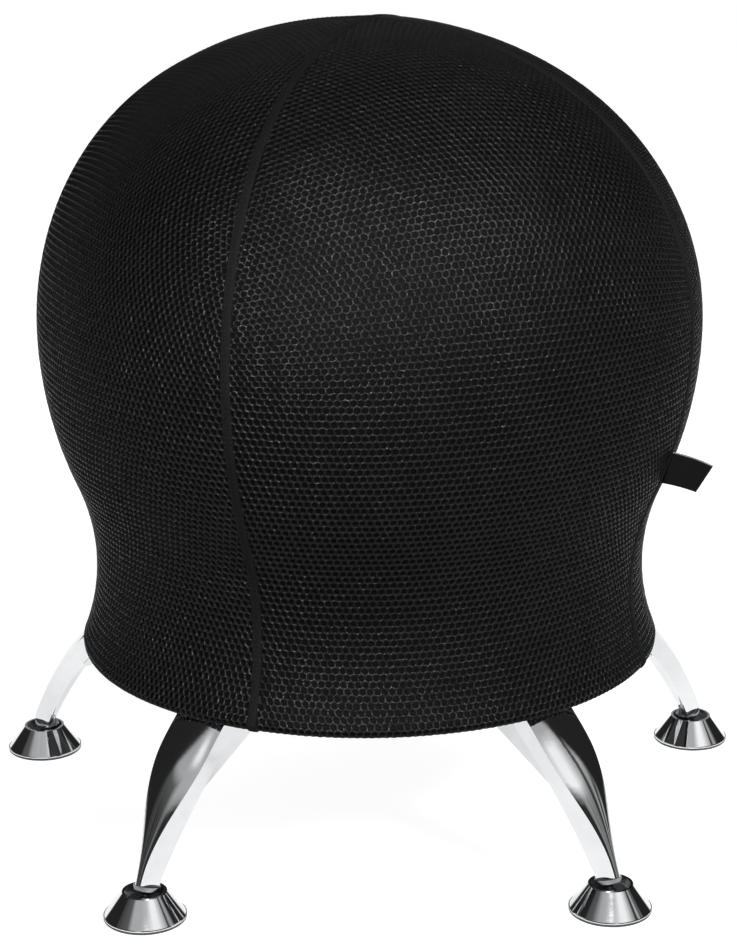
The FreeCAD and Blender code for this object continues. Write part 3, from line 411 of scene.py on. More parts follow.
@dataclass
class CoverForm:
    """The stretched cover's surface: its outline by arc length, and the slight ridges at its seams.

    Side and skirt are arcs centred level with the equator, given by their centre's radius and their bend. The crown
    is given by its centre's height and its bend, the waist by its centre's radius and height and its bend, and the
    rim by its height and its rounding. Sway pairs heights with how far to the side the cover stands there, in mm.
    """

    equator: float = 355.6 * MM
    side: tuple[float, float] = (29.5 * MM, 203.3 * MM)
    crown: tuple[float, float] = (298.354 * MM, 267.7 * MM)
    shoulder: float = 62.738
    skirt: tuple[float, float] = (-35.4 * MM, 268.2 * MM)
    waist: tuple[float, float, float] = (350.118 * MM, 184.7 * MM, 153.5 * MM)
    flank_low: float = 246.908 * MM
    rim: tuple[float, float] = (126.2 * MM, 5.4 * MM)
    inner_edge: float = 196.6 * MM
    first_seam: float = -23.3
    top_ridge: float = 0.0388
    flank_ridge: float = 0.0136
    sway: tuple[tuple[float, float], ...] = (
        (140, 0.0), (200, 0.4), (250, 0.7), (350, 0.1), (400, 0.1), (460, -0.6), (505, -1.1), (530, -1.0),
        (548, 0.2), (566, 1.8))
    sampling: float = MM
    length: np.ndarray = field(init=False)
    outline: np.ndarray = field(init=False)

    def __post_init__(self) -> None:
        """Samples the outline from the turned-in edge up to the pole."""
        waist_radius, waist_height, bend = self.waist
        low = 180 + math.degrees(math.asin((waist_height - self.rim[0]) / bend))
        high = 180 - math.degrees(math.asin((self.flank_low - waist_height) / bend))
        rim_side = waist_radius + bend * math.cos(math.radians(low))
        fall = math.degrees(math.asin((self.flank_low - self.equator) / self.skirt[1]))
        rim_height, round_over = self.rim
        turned_in = np.linspace((self.inner_edge, rim_height - round_over),
                                (rim_side - round_over * 1.1, rim_height - round_over), 6)
        line = np.concatenate([
            turned_in,
            arc((rim_side - round_over, rim_height), round_over, -90, -6, 0.6 * self.sampling),
            arc((waist_radius, waist_height), bend, low - 0.4, high, self.sampling),
            arc((self.skirt[0], self.equator), self.skirt[1], fall, 0, self.sampling)[1:],
            arc((self.side[0], self.equator), self.side[1], 0, self.shoulder, self.sampling)[1:],
            arc((0.0, self.crown[0]), self.crown[1], self.shoulder, 90, self.sampling)[1:],
        ])
        line[-1, 0] = 0.0
        steps = np.linalg.norm(np.diff(line, axis=0), axis=1)
        length = np.concatenate([[0.0], np.cumsum(steps)])
        at_equator = np.interp(0.0, line[:, 1] - self.equator, length)
        self.length, self.outline = length - at_equator, line

    @property
    def low(self) -> float:
        """Arc length of the turned-in edge, below the equator and so negative."""
        return float(self.length[0])

    @property
    def pole(self) -> float:
        """Arc length from the equator to the top."""
        return float(self.length[-1])

    def radius(self, along: np.ndarray) -> np.ndarray:
        """The round outline's radius at an arc length."""
        return np.interp(along, self.length, self.outline[:, 0])

    def place(self, along: np.ndarray, heading: np.ndarray, out: np.ndarray | float) -> np.ndarray:
        """Points of the surface, or a little outside it.

        Args:
            along: Arc lengths from the equator, up.
            heading: Angles round the axis, in radians.
            out: How far outside the surface.

        Returns:
            The points, one row each.
        """
        points = self.bare(along, heading)
        return points + np.asarray(out)[..., None] * self.normal(along, heading)

    def bare(self, along: np.ndarray, heading: np.ndarray) -> np.ndarray:
        """The surface itself, with its ridges."""
        return self.shaped(self.radius(along), np.interp(along, self.length, self.outline[:, 1]), heading)

    def shaped(self, radius: np.ndarray, height: np.ndarray, heading: np.ndarray) -> np.ndarray:
        """A round form's points, ridged at the seams and standing a little to the side as the cover does."""
        foot = np.clip((height - self.rim[0]) / (self.equator - self.rim[0]), 0, 1) ** 2
        up = np.clip((height - self.equator) / (self.outline[-1, 1] - self.equator), 0, 1)
        ridge = foot * (self.flank_ridge * (1 - up) + self.top_ridge * up)
        radius = radius * (1 + ridge * np.cos(len(SEAMS) * (heading - np.radians(self.first_seam))))
        levels, shifts = np.array(self.sway).T * MM
        return np.stack([radius * np.cos(heading) + np.interp(height, levels, shifts), radius * np.sin(heading),
                         height], -1)

    def normal(self, along: np.ndarray, heading: np.ndarray) -> np.ndarray:
        """Outward directions, from small differences."""
        step, turn = 0.5 * MM, 0.003
        up = self.bare(along + step, heading) - self.bare(along - step, heading)
        side = self.bare(along, heading + turn) - self.bare(along, heading - turn)
        out = np.cross(side, up)
        size = np.linalg.norm(out, axis=-1, keepdims=True)
        return np.where(size > 1e-12, out / np.maximum(size, 1e-12), (0.0, 0.0, 1.0))

    def quarter_area(self) -> float:
        """The flat area of one of the four gores."""
        steps = np.diff(self.length)
        return float((steps * (self.outline[1:, 0] + self.outline[:-1, 0]) / 2).sum() * QUARTER)


@dataclass
class MeshPanel:
    """One gore of spacer mesh, with every hole of the knit.

    Hole is the share of its cell that a hole takes up, and taper how much narrower it is at its bottom. Straying,
    unequal and uneven are how far places, widths and depths depart from even.
    """

    form: CoverForm
    name: str
    middle: float
    pitch: float = 4.85 * MM
    row: float = 4.65 * MM
    hole: float = 0.79
    taper: float = 0.80
    rim_drop: float = 0.24 * MM
    floor_drop: float = 1.25 * MM
    straying: float = 0.07 * MM
    unequal: float = 0.03
    uneven: tuple[float, float] = (0.05 * MM, 0.08 * MM)
    weld: float = 0.01 * MM
    chart_scale: float = 10.0
    ground_steps: tuple[int, int] = (200, 61)
    seed: int = 1

    def corners(self) -> np.ndarray:
        """The six corners of a cell about its centre, counter-clockwise from the top."""
        half, lift = self.pitch / 2, (self.row ** 2 - self.pitch ** 2 / 4) / (2 * self.row)
        tip = self.row - lift
        return np.array([(0, tip), (-half, lift), (-half, -lift), (0, -tip), (half, -lift), (half, lift)])

    def wrapped(self, flat: np.ndarray) -> tuple[np.ndarray, np.ndarray]:
        """Lays the flat knit on the gore.

        Below the equator the rows follow the parallels. Above it they are the arcs that a cloth pulled over a
        ball takes, square to the gore's middle.

        Args:
            flat: Rows of sideways and upward place on the flat knit.

        Returns:
            Arc lengths from the equator, and angles from the gore's middle.
        """
        side, up = flat[..., 0], flat[..., 1]
        ball = self.form.pole / QUARTER
        rise = np.maximum(up, 0) / ball
        across = side / (ball + (self.form.radius(np.zeros(1))[0] - ball) * np.cos(rise) ** 2)
        high = ball * np.arcsin(np.clip(np.cos(across) * np.sin(rise), -1, 1))
        high_turn = np.arctan2(np.sin(across), np.cos(across) * np.cos(rise))
        low_turn = side / self.form.radius(np.minimum(up, 0))
        along = np.where(up > 0, high, up)
        return np.clip(along, self.form.low, self.form.pole), np.where(up > 0, high_turn, low_turn)

    def centres(self) -> np.ndarray:
        """Flat places of the cells that lie on the gore."""
        reach = self.form.radius(np.zeros(1))[0] * QUARTER / 2 + 2 * self.pitch
        rows = np.arange(math.floor(self.form.low / self.row), math.ceil(self.form.pole / self.row) + 1)
        columns = np.arange(-math.ceil(reach / self.pitch), math.ceil(reach / self.pitch) + 1)
        column, line = np.meshgrid(columns, rows)
        flat = np.stack([(column + (line % 2) / 2) * self.pitch, line * self.row], -1).reshape(-1, 2)
        along, turn = self.wrapped(flat)
        beyond = (np.abs(turn) - QUARTER / 2) * self.form.radius(along)
        return flat[(beyond < 0.45 * self.pitch) & (flat[:, 1] > self.form.low - 0.4 * self.row)]

    def build(self) -> Piece:
        """Builds the panel's strands and the walls of its holes, the walls coloured darker as painted shade."""
        centres, corners = self.centres(), self.corners()
        count, chance = len(centres), np.random.default_rng(self.seed)
        border = (centres[:, None] + corners).reshape(-1, 2)
        keys, number = np.unique(np.round(border / self.weld).astype(np.int64), axis=0, return_inverse=True)
        border = keys * self.weld
        shift = chance.normal(0, self.straying, (count, 1, 2))
        width = self.hole * (1 + chance.normal(0, self.unequal, (count, SIDES, 1)))
        rim = (centres[:, None] + shift + corners * width).reshape(-1, 2)
        floor = (centres[:, None] + shift + corners * width * self.taper).reshape(-1, 2)
        flat = np.concatenate([border, rim, floor])
        strand, deep = self.uneven
        drop = np.concatenate([
            chance.normal(0, strand, len(border)),
            self.rim_drop + chance.normal(0, strand, len(rim)),
            self.floor_drop + np.repeat(chance.normal(0, deep, count), SIDES),
        ])
        along, turn = self.wrapped(flat)
        turn = np.clip(turn, -QUARTER / 2, QUARTER / 2)
        points = self.form.place(along, turn + math.radians(self.middle), -drop)
        edge = number.reshape(count, SIDES)
        lip = len(border) + np.arange(count * SIDES).reshape(count, SIDES)
        base = lip + count * SIDES
        after = np.roll(np.arange(SIDES), -1)
        strands = np.stack([edge, edge[:, after], lip[:, after], lip], -1).reshape(-1, 4)
        walls = np.stack([lip, lip[:, after], base[:, after], base], -1).reshape(-1, 4)
        faces = strands.tolist() + walls.tolist()
        slots = np.repeat([0, 1], [len(strands), len(walls)])
        # Slot 1, the hole walls, wears the darker colour that paints the shade inside the holes.
        finishes = [Finishes.STRAND, Finishes.WALL]
        piece = solid_object(f"mesh_panel_{self.name}", points, faces, finishes, slots, flat * self.chart_scale)
        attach(piece, "base")
        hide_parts(f"cover_panel_{self.name}")
        return piece

    def build_ground(self) -> Piece:
        """Builds the knit's inner face, which shows at the bottom of each hole, coloured darker than the strands as
        painted shade.
        """
        rises, turns = self.ground_steps
        along = np.linspace(self.form.low, self.form.pole, rises)
        turn = np.radians(np.linspace(-45, 45, turns) + self.middle)
        rows, columns = np.meshgrid(along, turn, indexing="ij")
        points = self.form.place(rows.ravel(), columns.ravel(), -self.floor_drop)
        faces = band_faces(len(along), len(turn), closed=False)
        # The inner face wears a darker colour than the strands: painted shade at the bottom of the holes.
        piece = solid_object(f"mesh_ground_{self.name}", points, [face[::-1] for face in faces], [Finishes.GROUND_PAINTED_SHADE])
        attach(piece, "base")
        return piece


@dataclass
class SeamBand:
    """A sewn seam from the hem to the crown, with two rows of stitches.

    The section gives the band's places across and their lift, in mm. The stitch's form gives, along its length,
    the share of it, its thickness and its lift, in mm.
    """

    form: CoverForm
    name: str
    heading: float
    crown_end: float
    step: float = 0.9 * MM
    stitch: float = 3.4 * MM
    row_place: float = 2.0 * MM
    pucker: float = 0.12
    section: tuple[tuple[float, float], ...] = (
        (-3.3, -0.7), (-3.15, 0.25), (-2.7, 0.52), (-2.0, 0.34), (-1.3, 0.60), (-0.5, 0.72), (0.0, 0.52),
        (0.5, 0.72), (1.3, 0.60), (2.0, 0.34), (2.7, 0.52), (3.15, 0.25), (3.3, -0.7))
    stitch_form: tuple[tuple[float, float, float], ...] = (
        (-0.46, 0.02, 0.22), (-0.34, 0.2, 0.42), (-0.12, 0.27, 0.54),
        (0.12, 0.27, 0.54), (0.34, 0.2, 0.42), (0.46, 0.02, 0.22))

    def frames(self, along: np.ndarray) -> tuple[np.ndarray, np.ndarray, np.ndarray]:
        """Places on the seam's line, with the sideways and outward directions there."""
        heading = np.full(along.shape, math.radians(self.heading))
        place, out = self.form.bare(along, heading), self.form.normal(along, heading)
        turn = math.radians(self.heading)
        side = np.broadcast_to((-math.sin(turn), math.cos(turn), 0.0), place.shape)
        return place, side, out

    def band(self) -> tuple[np.ndarray, list]:
        """The band's vertices and faces, puckered at each stitch."""
        along = np.arange(self.form.low, self.form.pole - self.crown_end, self.step)
        place, side, out = self.frames(along)
        across, lift = np.array(self.section).T * MM
        drawn = 1 - self.pucker * np.cos(2 * math.pi * along / self.stitch)[:, None] * (lift > 0)
        points = place[:, None] + across[None, :, None] * side[:, None] + (lift * drawn)[..., None] * out[:, None]
        count = len(across)
        faces = [face[::-1] for face in band_faces(len(along), count, closed=False)]
        return points.reshape(-1, 3), faces

    def stitches(self, start: int) -> tuple[np.ndarray, list]:
        """Both rows of thread, each stitch a short rounded bar sunk at its ends."""
        middles = np.arange(self.form.low + self.stitch, self.form.pole - self.crown_end - self.stitch, self.stitch)
        share, thick, lift = np.array(self.stitch_form).T
        thick, lift = thick * MM, lift * MM
        angle = np.arange(SIDES) * math.pi / 3
        points, faces = [], []
        for row in (-self.row_place, self.row_place):
            along = (middles[:, None] + share * self.stitch).ravel()
            place, side, out = self.frames(along)
            size, rise = np.tile(thick, len(middles)), np.tile(lift, len(middles))
            across = row + size[:, None] * np.cos(angle)
            up = rise[:, None] + size[:, None] * np.sin(angle)
            ring = place[:, None] + across[..., None] * side[:, None] + up[..., None] * out[:, None]
            first = start + sum(len(part) for part in points)
            points.append(ring.reshape(-1, 3))
            for stitch in range(len(middles)):
                faces += band_faces(len(share), SIDES, start=first + stitch * len(share) * SIDES)
        return np.concatenate(points), faces

    def build(self) -> Piece:
        """Builds the band and its thread as one piece."""
        band, band_quads = self.band()
        thread, thread_quads = self.stitches(len(band))
        slots = [0] * len(band_quads) + [1] * len(thread_quads)
        piece = solid_object(f"seam_{self.name}", np.concatenate([band, thread]), band_quads + thread_quads,
                             [Finishes.TAPE, Finishes.THREAD], slots)
        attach(piece, "base")
        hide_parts(f"seam_band_{self.name}")
        return piece


@dataclass
class Hem:
    """The gathered tape round the cover's turned-in edge, and the cord that runs inside it."""

    radius: float = 193.4 * MM
    height: float = 124.8 * MM
    tape: float = 2.9 * MM
    cord: float = 1.85 * MM
    gathers: int = 132
    fold_depth: float = 0.22 * MM
    worn: float = 0.1 * MM
    strands: int = 3
    twists: int = 110
    groove: float = 0.07
    tape_steps: tuple[int, int] = (1056, 14)
    cord_steps: tuple[int, int] = (1760, 12)

    def ring(self, name: str, steps: int, around: int, finish: Finishes,
             thickness: Callable[[np.ndarray, np.ndarray], np.ndarray]) -> Piece:
        """A closed ring whose thickness varies along and around it."""
        heading, round_it = np.meshgrid(np.linspace(0, 2 * math.pi, steps, endpoint=False),
                                        np.linspace(0, 2 * math.pi, around, endpoint=False), indexing="ij")
        size = thickness(heading, round_it)
        reach, height = self.radius + size * np.cos(round_it), self.height + size * np.sin(round_it)
        points = np.stack([reach * np.cos(heading), reach * np.sin(heading), height], -1)
        faces = [face[::-1] for face in band_faces(steps, around, looped=True)]
        piece = solid_object(name, points.reshape(-1, 3), faces, [finish])
        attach(piece, "base")
        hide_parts(name.removesuffix("_sewn"))
        return piece

    def build(self) -> list[Piece]:
        """Builds the gathered tape and the laid cord."""

        def gathered(heading: np.ndarray, round_it: np.ndarray) -> np.ndarray:
            """The tape's thickness, in small folds of uneven height."""
            fold = np.cos(self.gathers * heading + 0.8 * np.sin(17 * heading))
            return self.tape - self.fold_depth * (1 - fold) * (0.6 + 0.4 * np.sin(31 * heading)) - self.worn

        def laid(heading: np.ndarray, round_it: np.ndarray) -> np.ndarray:
            """The cord's twisted strands."""
            wave = np.cos(self.strands * (round_it - self.twists * heading))
            return self.cord * (1 - self.groove + self.groove * wave)

        return [
            self.ring("hem_binding_sewn", *self.tape_steps, Finishes.BINDING, gathered),
            self.ring("hem_cord_sewn", *self.cord_steps, Finishes.CORD, laid),
        ]


@dataclass
class Tag:
    """The bare folded tag in the right seam, hanging a little at its free end."""

    form: CoverForm
    height: float = 269.0 * MM
    reach: float = 28.0 * MM
    width: float = 23.0 * MM
    ply: float = 0.42 * MM
    droop: float = 0.22
    selvedge: float = 0.7 * MM
    root_room: float = 1.6 * MM
    lean: float = 6.4 * MM
    flare: float = 0.18
    sag_by_reach: tuple[float, float] = (0.55, 0.45)
    sag_by_level: tuple[float, float] = (0.87, 0.33)
    narrowing: float = 0.06
    wave: float = 0.9 * MM
    curl: float = 1.2 * MM

    def point(self, out: float, up: float, side: float) -> tuple[float, float, float]:
        """A point of the tag from how far out of the seam, up its width and to its side it is."""
        share, level = out / self.reach, up / self.width
        turn = math.radians(self.form.first_seam)
        flank = self.form.outline[self.form.outline[:, 1] < self.form.equator]
        root = float(np.interp(self.height, flank[:, 1], flank[:, 0]))
        along = math.cos(self.droop * share) * (1 + self.flare * level)
        radial = root + self.root_room + level * self.lean + out * along
        sag = math.sin(self.droop * (self.sag_by_reach[0] + self.sag_by_reach[1] * share))
        sag *= self.sag_by_level[0] + self.sag_by_level[1] * level
        height = self.height + up * (1 - self.narrowing * share) - out * sag
        sway = side + self.wave * math.sin(2.2 * share) * (0.5 + level) - self.curl * share ** 2
        return (radial * math.cos(turn) - sway * math.sin(turn), radial * math.sin(turn) + sway * math.cos(turn),
                height)

    def build(self) -> Piece:
        """Builds the two plies, their round fold and the paler woven edge."""
        half = self.ply * 0.75
        outs = np.linspace(0, self.reach - half, 15)
        fold = np.radians([-60, -20, 20, 60])
        path = [(out, -half) for out in outs]
        path += [(self.reach - half + half * math.cos(turn), half * math.sin(turn)) for turn in fold]
        path += [(out, half) for out in outs[::-1]]
        ups = np.concatenate([[-0.5, -0.47], np.linspace(-0.4, 0.4, 7), [0.5 - self.selvedge / self.width, 0.5]])
        points, faces, slots = [], [], []
        for thick in (0.0, self.ply * 0.5):
            for out, side in path:
                inner_out = out - thick * (out > self.reach - half * 1.01)
                points += [self.point(inner_out, up * self.width, side * (1 - thick / half)) for up in ups]
        count, layer = len(ups), len(path) * len(ups)
        for step in range(len(path) - 1):
            for place in range(count - 1):
                here = step * count + place
                faces += [(here, here + count, here + count + 1, here + 1),
                          (layer + here, layer + here + 1, layer + here + count + 1, layer + here + count)]
                slots += [int(place == count - 2)] * 2
            for end in (0, count - 1):
                here, there = step * count + end, (step + 1) * count + end
                rim = (here, there, layer + there, layer + here)
                faces.append(rim if end else rim[::-1])
                slots.append(int(end > 0))
        for first, flip in ((0, False), ((len(path) - 1) * count, True)):
            for place in range(first, first + count - 1):
                root = (place, place + 1, layer + place + 1, layer + place)
                faces.append(root[::-1] if flip else root)
                slots.append(0)
        piece = solid_object("side_tag", np.array(points), faces, [Finishes.SATIN, Finishes.SELVEDGE], slots)
        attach(piece, "base")
        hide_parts("cover_tag")
        return piece


@dataclass
class Cover:
    """The whole sewn cover."""

    form: CoverForm = field(default_factory=CoverForm)
    first_seed: int = 11
    crown_ends: tuple[float, float] = (0.2 * MM, 3.6 * MM)

    def build(self) -> list[Piece]:
        """Builds the panels, seams, hem and tag."""
        made = []
        area = self.form.quarter_area()
        for number, name in enumerate(PANELS):
            middle = self.form.first_seam + 45 + 90 * number
            gore = MeshPanel(self.form, name, middle, seed=self.first_seed + number)
            panel, ground = gore.build(), gore.build_ground()
            made += [panel, ground]
        for number, name in enumerate(SEAMS):
            heading, crown_end = self.form.first_seam + 90 * number, self.crown_ends[number % 2]
            made.append(SeamBand(self.form, name, heading, crown_end).build())
        made += Hem().build()
        made.append(Tag(self.form).build())
        return made


# The ball and the foam under it

@dataclass
class InnerBall:
    """The inflated ball: ribbed vinyl, flattened a little on its foam, with a sunk valve."""

    form: CoverForm
    inset: float = 3.7 * MM
    sole_bend: float = 265.5 * MM
    sole_centre: float = 414.528 * MM
    bore: float = 4.55 * MM
    rib: float = 0.22 * MM
    rib_step: float = 7.0 * MM
    rib_edge: float = 0.55
    bare_sole: float = 12.0 * MM
    neck: tuple[float, float] = (9.0 * MM, 1.2 * MM)
    sampling: float = 1.4 * MM
    steps: int = 144

    def profile(self) -> np.ndarray:
        """The outline from the valve's bore up to just short of the pole, with shallow ribs."""
        middle, bend = self.form.side
        level, shoulder = self.form.equator, self.form.shoulder
        crown_centre, crown_bend = self.form.crown
        join = math.degrees(math.atan2(level - self.sole_centre, middle))
        start = -math.degrees(math.acos(self.bore / self.sole_bend))
        line = np.concatenate([
            arc((0.0, self.sole_centre), self.sole_bend, start, join, self.sampling),
            arc((middle, level), bend - self.inset, join, shoulder, self.sampling)[1:],
            arc((0.0, crown_centre), crown_bend - self.inset, shoulder, 89.9, self.sampling)[1:],
        ])
        along = np.concatenate([[0], np.cumsum(np.linalg.norm(np.diff(line, axis=0), axis=1))])
        way = np.gradient(line, axis=0)
        out = np.stack([way[:, 1], -way[:, 0]], -1) / np.linalg.norm(way, axis=1, keepdims=True)
        ribbed = (np.sin(2 * math.pi * along / self.rib_step) > self.rib_edge) & (along > self.bare_sole)
        line -= out * (self.rib * (1 - ribbed))[:, None]
        neck = np.array([(self.bore, line[0, 1] + rise) for rise in self.neck])
        return np.concatenate([neck, line])

    def build(self) -> Piece:
        """Builds the ball."""
        piece = turned_object("inner_ball", self.profile(), self.steps, Finishes.VINYL, shape=self.form.shaped)
        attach(piece, "base")
        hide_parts("inflatable_ball")
        return piece


@dataclass
class Cradle:
    """The foam ring that the ball sits in, cut from a sheet and a little uneven."""

    form: CoverForm
    hole: float = 60.0 * MM
    low: float = 136.6 * MM
    top: float = 202.9 * MM
    shoulder: float = 176.0 * MM
    brow: float = 12.0 * MM
    wall: float = 8.0 * MM
    room: float = 3.2 * MM
    sole: tuple[float, float] = (414.528 * MM, 266.0 * MM)
    ripple: float = 0.12 * MM
    free_rows: int = 9
    sampling: float = 8.0 * MM
    steps: int = 180

    def profile(self) -> np.ndarray:
        """The outline, from the hole's foot out along the ball and down the tub's wall."""
        middle, bend = self.form.side
        bend -= self.room
        join = math.degrees(math.atan2(self.form.equator - self.sole[0], middle))
        brow = math.degrees(math.asin((self.top - self.form.equator) / bend))
        start = -math.degrees(math.acos(self.hole / self.sole[1]))
        under = arc((0.0, self.sole[0]), self.sole[1], start, join, self.sampling)
        beside = arc((middle, self.form.equator), bend, join, brow, self.sampling)[1:]
        waist_radius, waist_height, waist_bend = self.form.waist
        heights = np.linspace(self.shoulder, self.low, 6)
        drop = np.sqrt((waist_bend + self.wall) ** 2 - (waist_height - heights) ** 2)
        outside = np.stack([waist_radius - drop, heights], -1)
        # The knife's edges are eased by about a millimetre.
        edge = beside[-1] + ((1.4 * MM, 0.0), (self.brow - 1.2 * MM, 0.0))
        round_edge = edge[-1] + np.array([(0.9 * MM, -0.8 * MM)])
        foot = np.array([(outside[-1, 0] - 0.6 * MM, self.low), (self.hole + 0.4 * MM, self.low),
                         (self.hole, self.low + 0.8 * MM)])
        return np.concatenate([under, beside, edge, round_edge, outside[:-1],
                               outside[-1:] + np.array([(0.0, 0.6 * MM)]), foot])

    def build(self) -> Piece:
        """Builds the ring."""

        def uneven(turn: np.ndarray, row: np.ndarray) -> np.ndarray:
            """Small waves of the knife, and none where the ball presses."""
            return -self.ripple * (1 + np.sin(23 * turn + row) * np.sin(7 * turn)) * (row < self.free_rows)

        profile = self.profile()[::-1]
        piece = turned_object("foam_ring", profile, self.steps, Finishes.FOAM, uneven, closed=True)
        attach(piece, "base")
        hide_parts("foam_cradle")
        return piece


# The rigid parts, kept as the frame has them

@dataclass
class RigidParts:
    """Which finish each rigid part of the frame wears."""

    finishes: dict[str, Finishes] = field(default_factory=lambda: {
        "base_tub": Finishes.TUB,
        "threaded_inserts": Finishes.BRASS,
        "leg_bolts": Finishes.ZINC,
        "leg_washers": Finishes.ZINC,
        "leg_shell": Finishes.CHROME,
        "leg_bracket": Finishes.PLATE,
        "stud_sleeve": Finishes.STEEL,
        "ball_stud": Finishes.STEEL,
        "glide_socket": Finishes.NYLON,
        "glide_cone": Finishes.CHROME,
        "glide_pad": Finishes.PAD,
        "valve_plug": Finishes.PLUG,
    })

    def dress(self) -> int:
        """Gives each rigid node its finish, and returns how many were dressed."""
        dressed = 0
        for name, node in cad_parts.items():
            finish = next((f for start, f in self.finishes.items() if name.startswith(start)), None)
            if finish is None:
                continue
            node.data.materials.clear()
            node.data.materials.append(finish.value.make())
            dressed += 1
        return dressed


# The studio

@dataclass(frozen=True)
class Lamp:
    """A soft lamp: its place, aim, size and power, and whether matt surfaces and mirrored rays take its light."""

    name: str
    place: tuple[float, float, float]
    aim: tuple[float, float, float]
    size: tuple[float, float]
    watts: float
    diffuse: bool = True
    mirrored: bool = True


@dataclass(frozen=True)
class Patch:
    """A patch of what metal mirrors. Its heading, full half-width and whole half-width are in degrees."""

    heading: float
    full: float
    whole: float
    level: float

    def across(self, tree: Tree, bearing: Socket, beyond: float) -> Socket:
        """Its level over the bearings, fading at its sides to the level beyond it."""
        off = maths(tree, "ABSOLUTE", maths(tree, "SUBTRACT", bearing, math.radians(self.heading)))
        return spread(tree, off, math.radians(self.full), math.radians(self.whole), self.level, beyond)


@dataclass(frozen=True)
class MirroredLamp(Patch):
    """A soft lamp that only metal mirrors, between a low and a high rise (the sine of the angle above level)."""

    low: float
    high: float
    foot: float = 0.08
    head: float = 0.06

    def light(self, tree: Tree, bearing: Socket, up: Socket) -> Socket:
        """Its light, from the direction's bearing and rise."""
        glow = self.across(tree, bearing, 0.0)
        glow = maths(tree, "MULTIPLY", glow, spread(tree, up, self.low, self.low + self.foot, 0.0, 1.0))
        return maths(tree, "MULTIPLY", glow, spread(tree, up, self.high - self.head, self.high, 1.0, 0.0))


@dataclass(frozen=True)
class Flag(Patch):
    """A dark flag that metal mirrors, from level up to the rise of its top."""

    top: float
    fade: float = 0.08

    def veil(self, tree: Tree, bearing: Socket, up: Socket) -> Socket:
        """The share of light that it leaves, from the direction's bearing and rise."""
        veil = self.across(tree, bearing, 1.0)
        return maths(tree, "MAXIMUM", veil, spread(tree, up, self.top, self.top + self.fade, 0.0, 1.0))


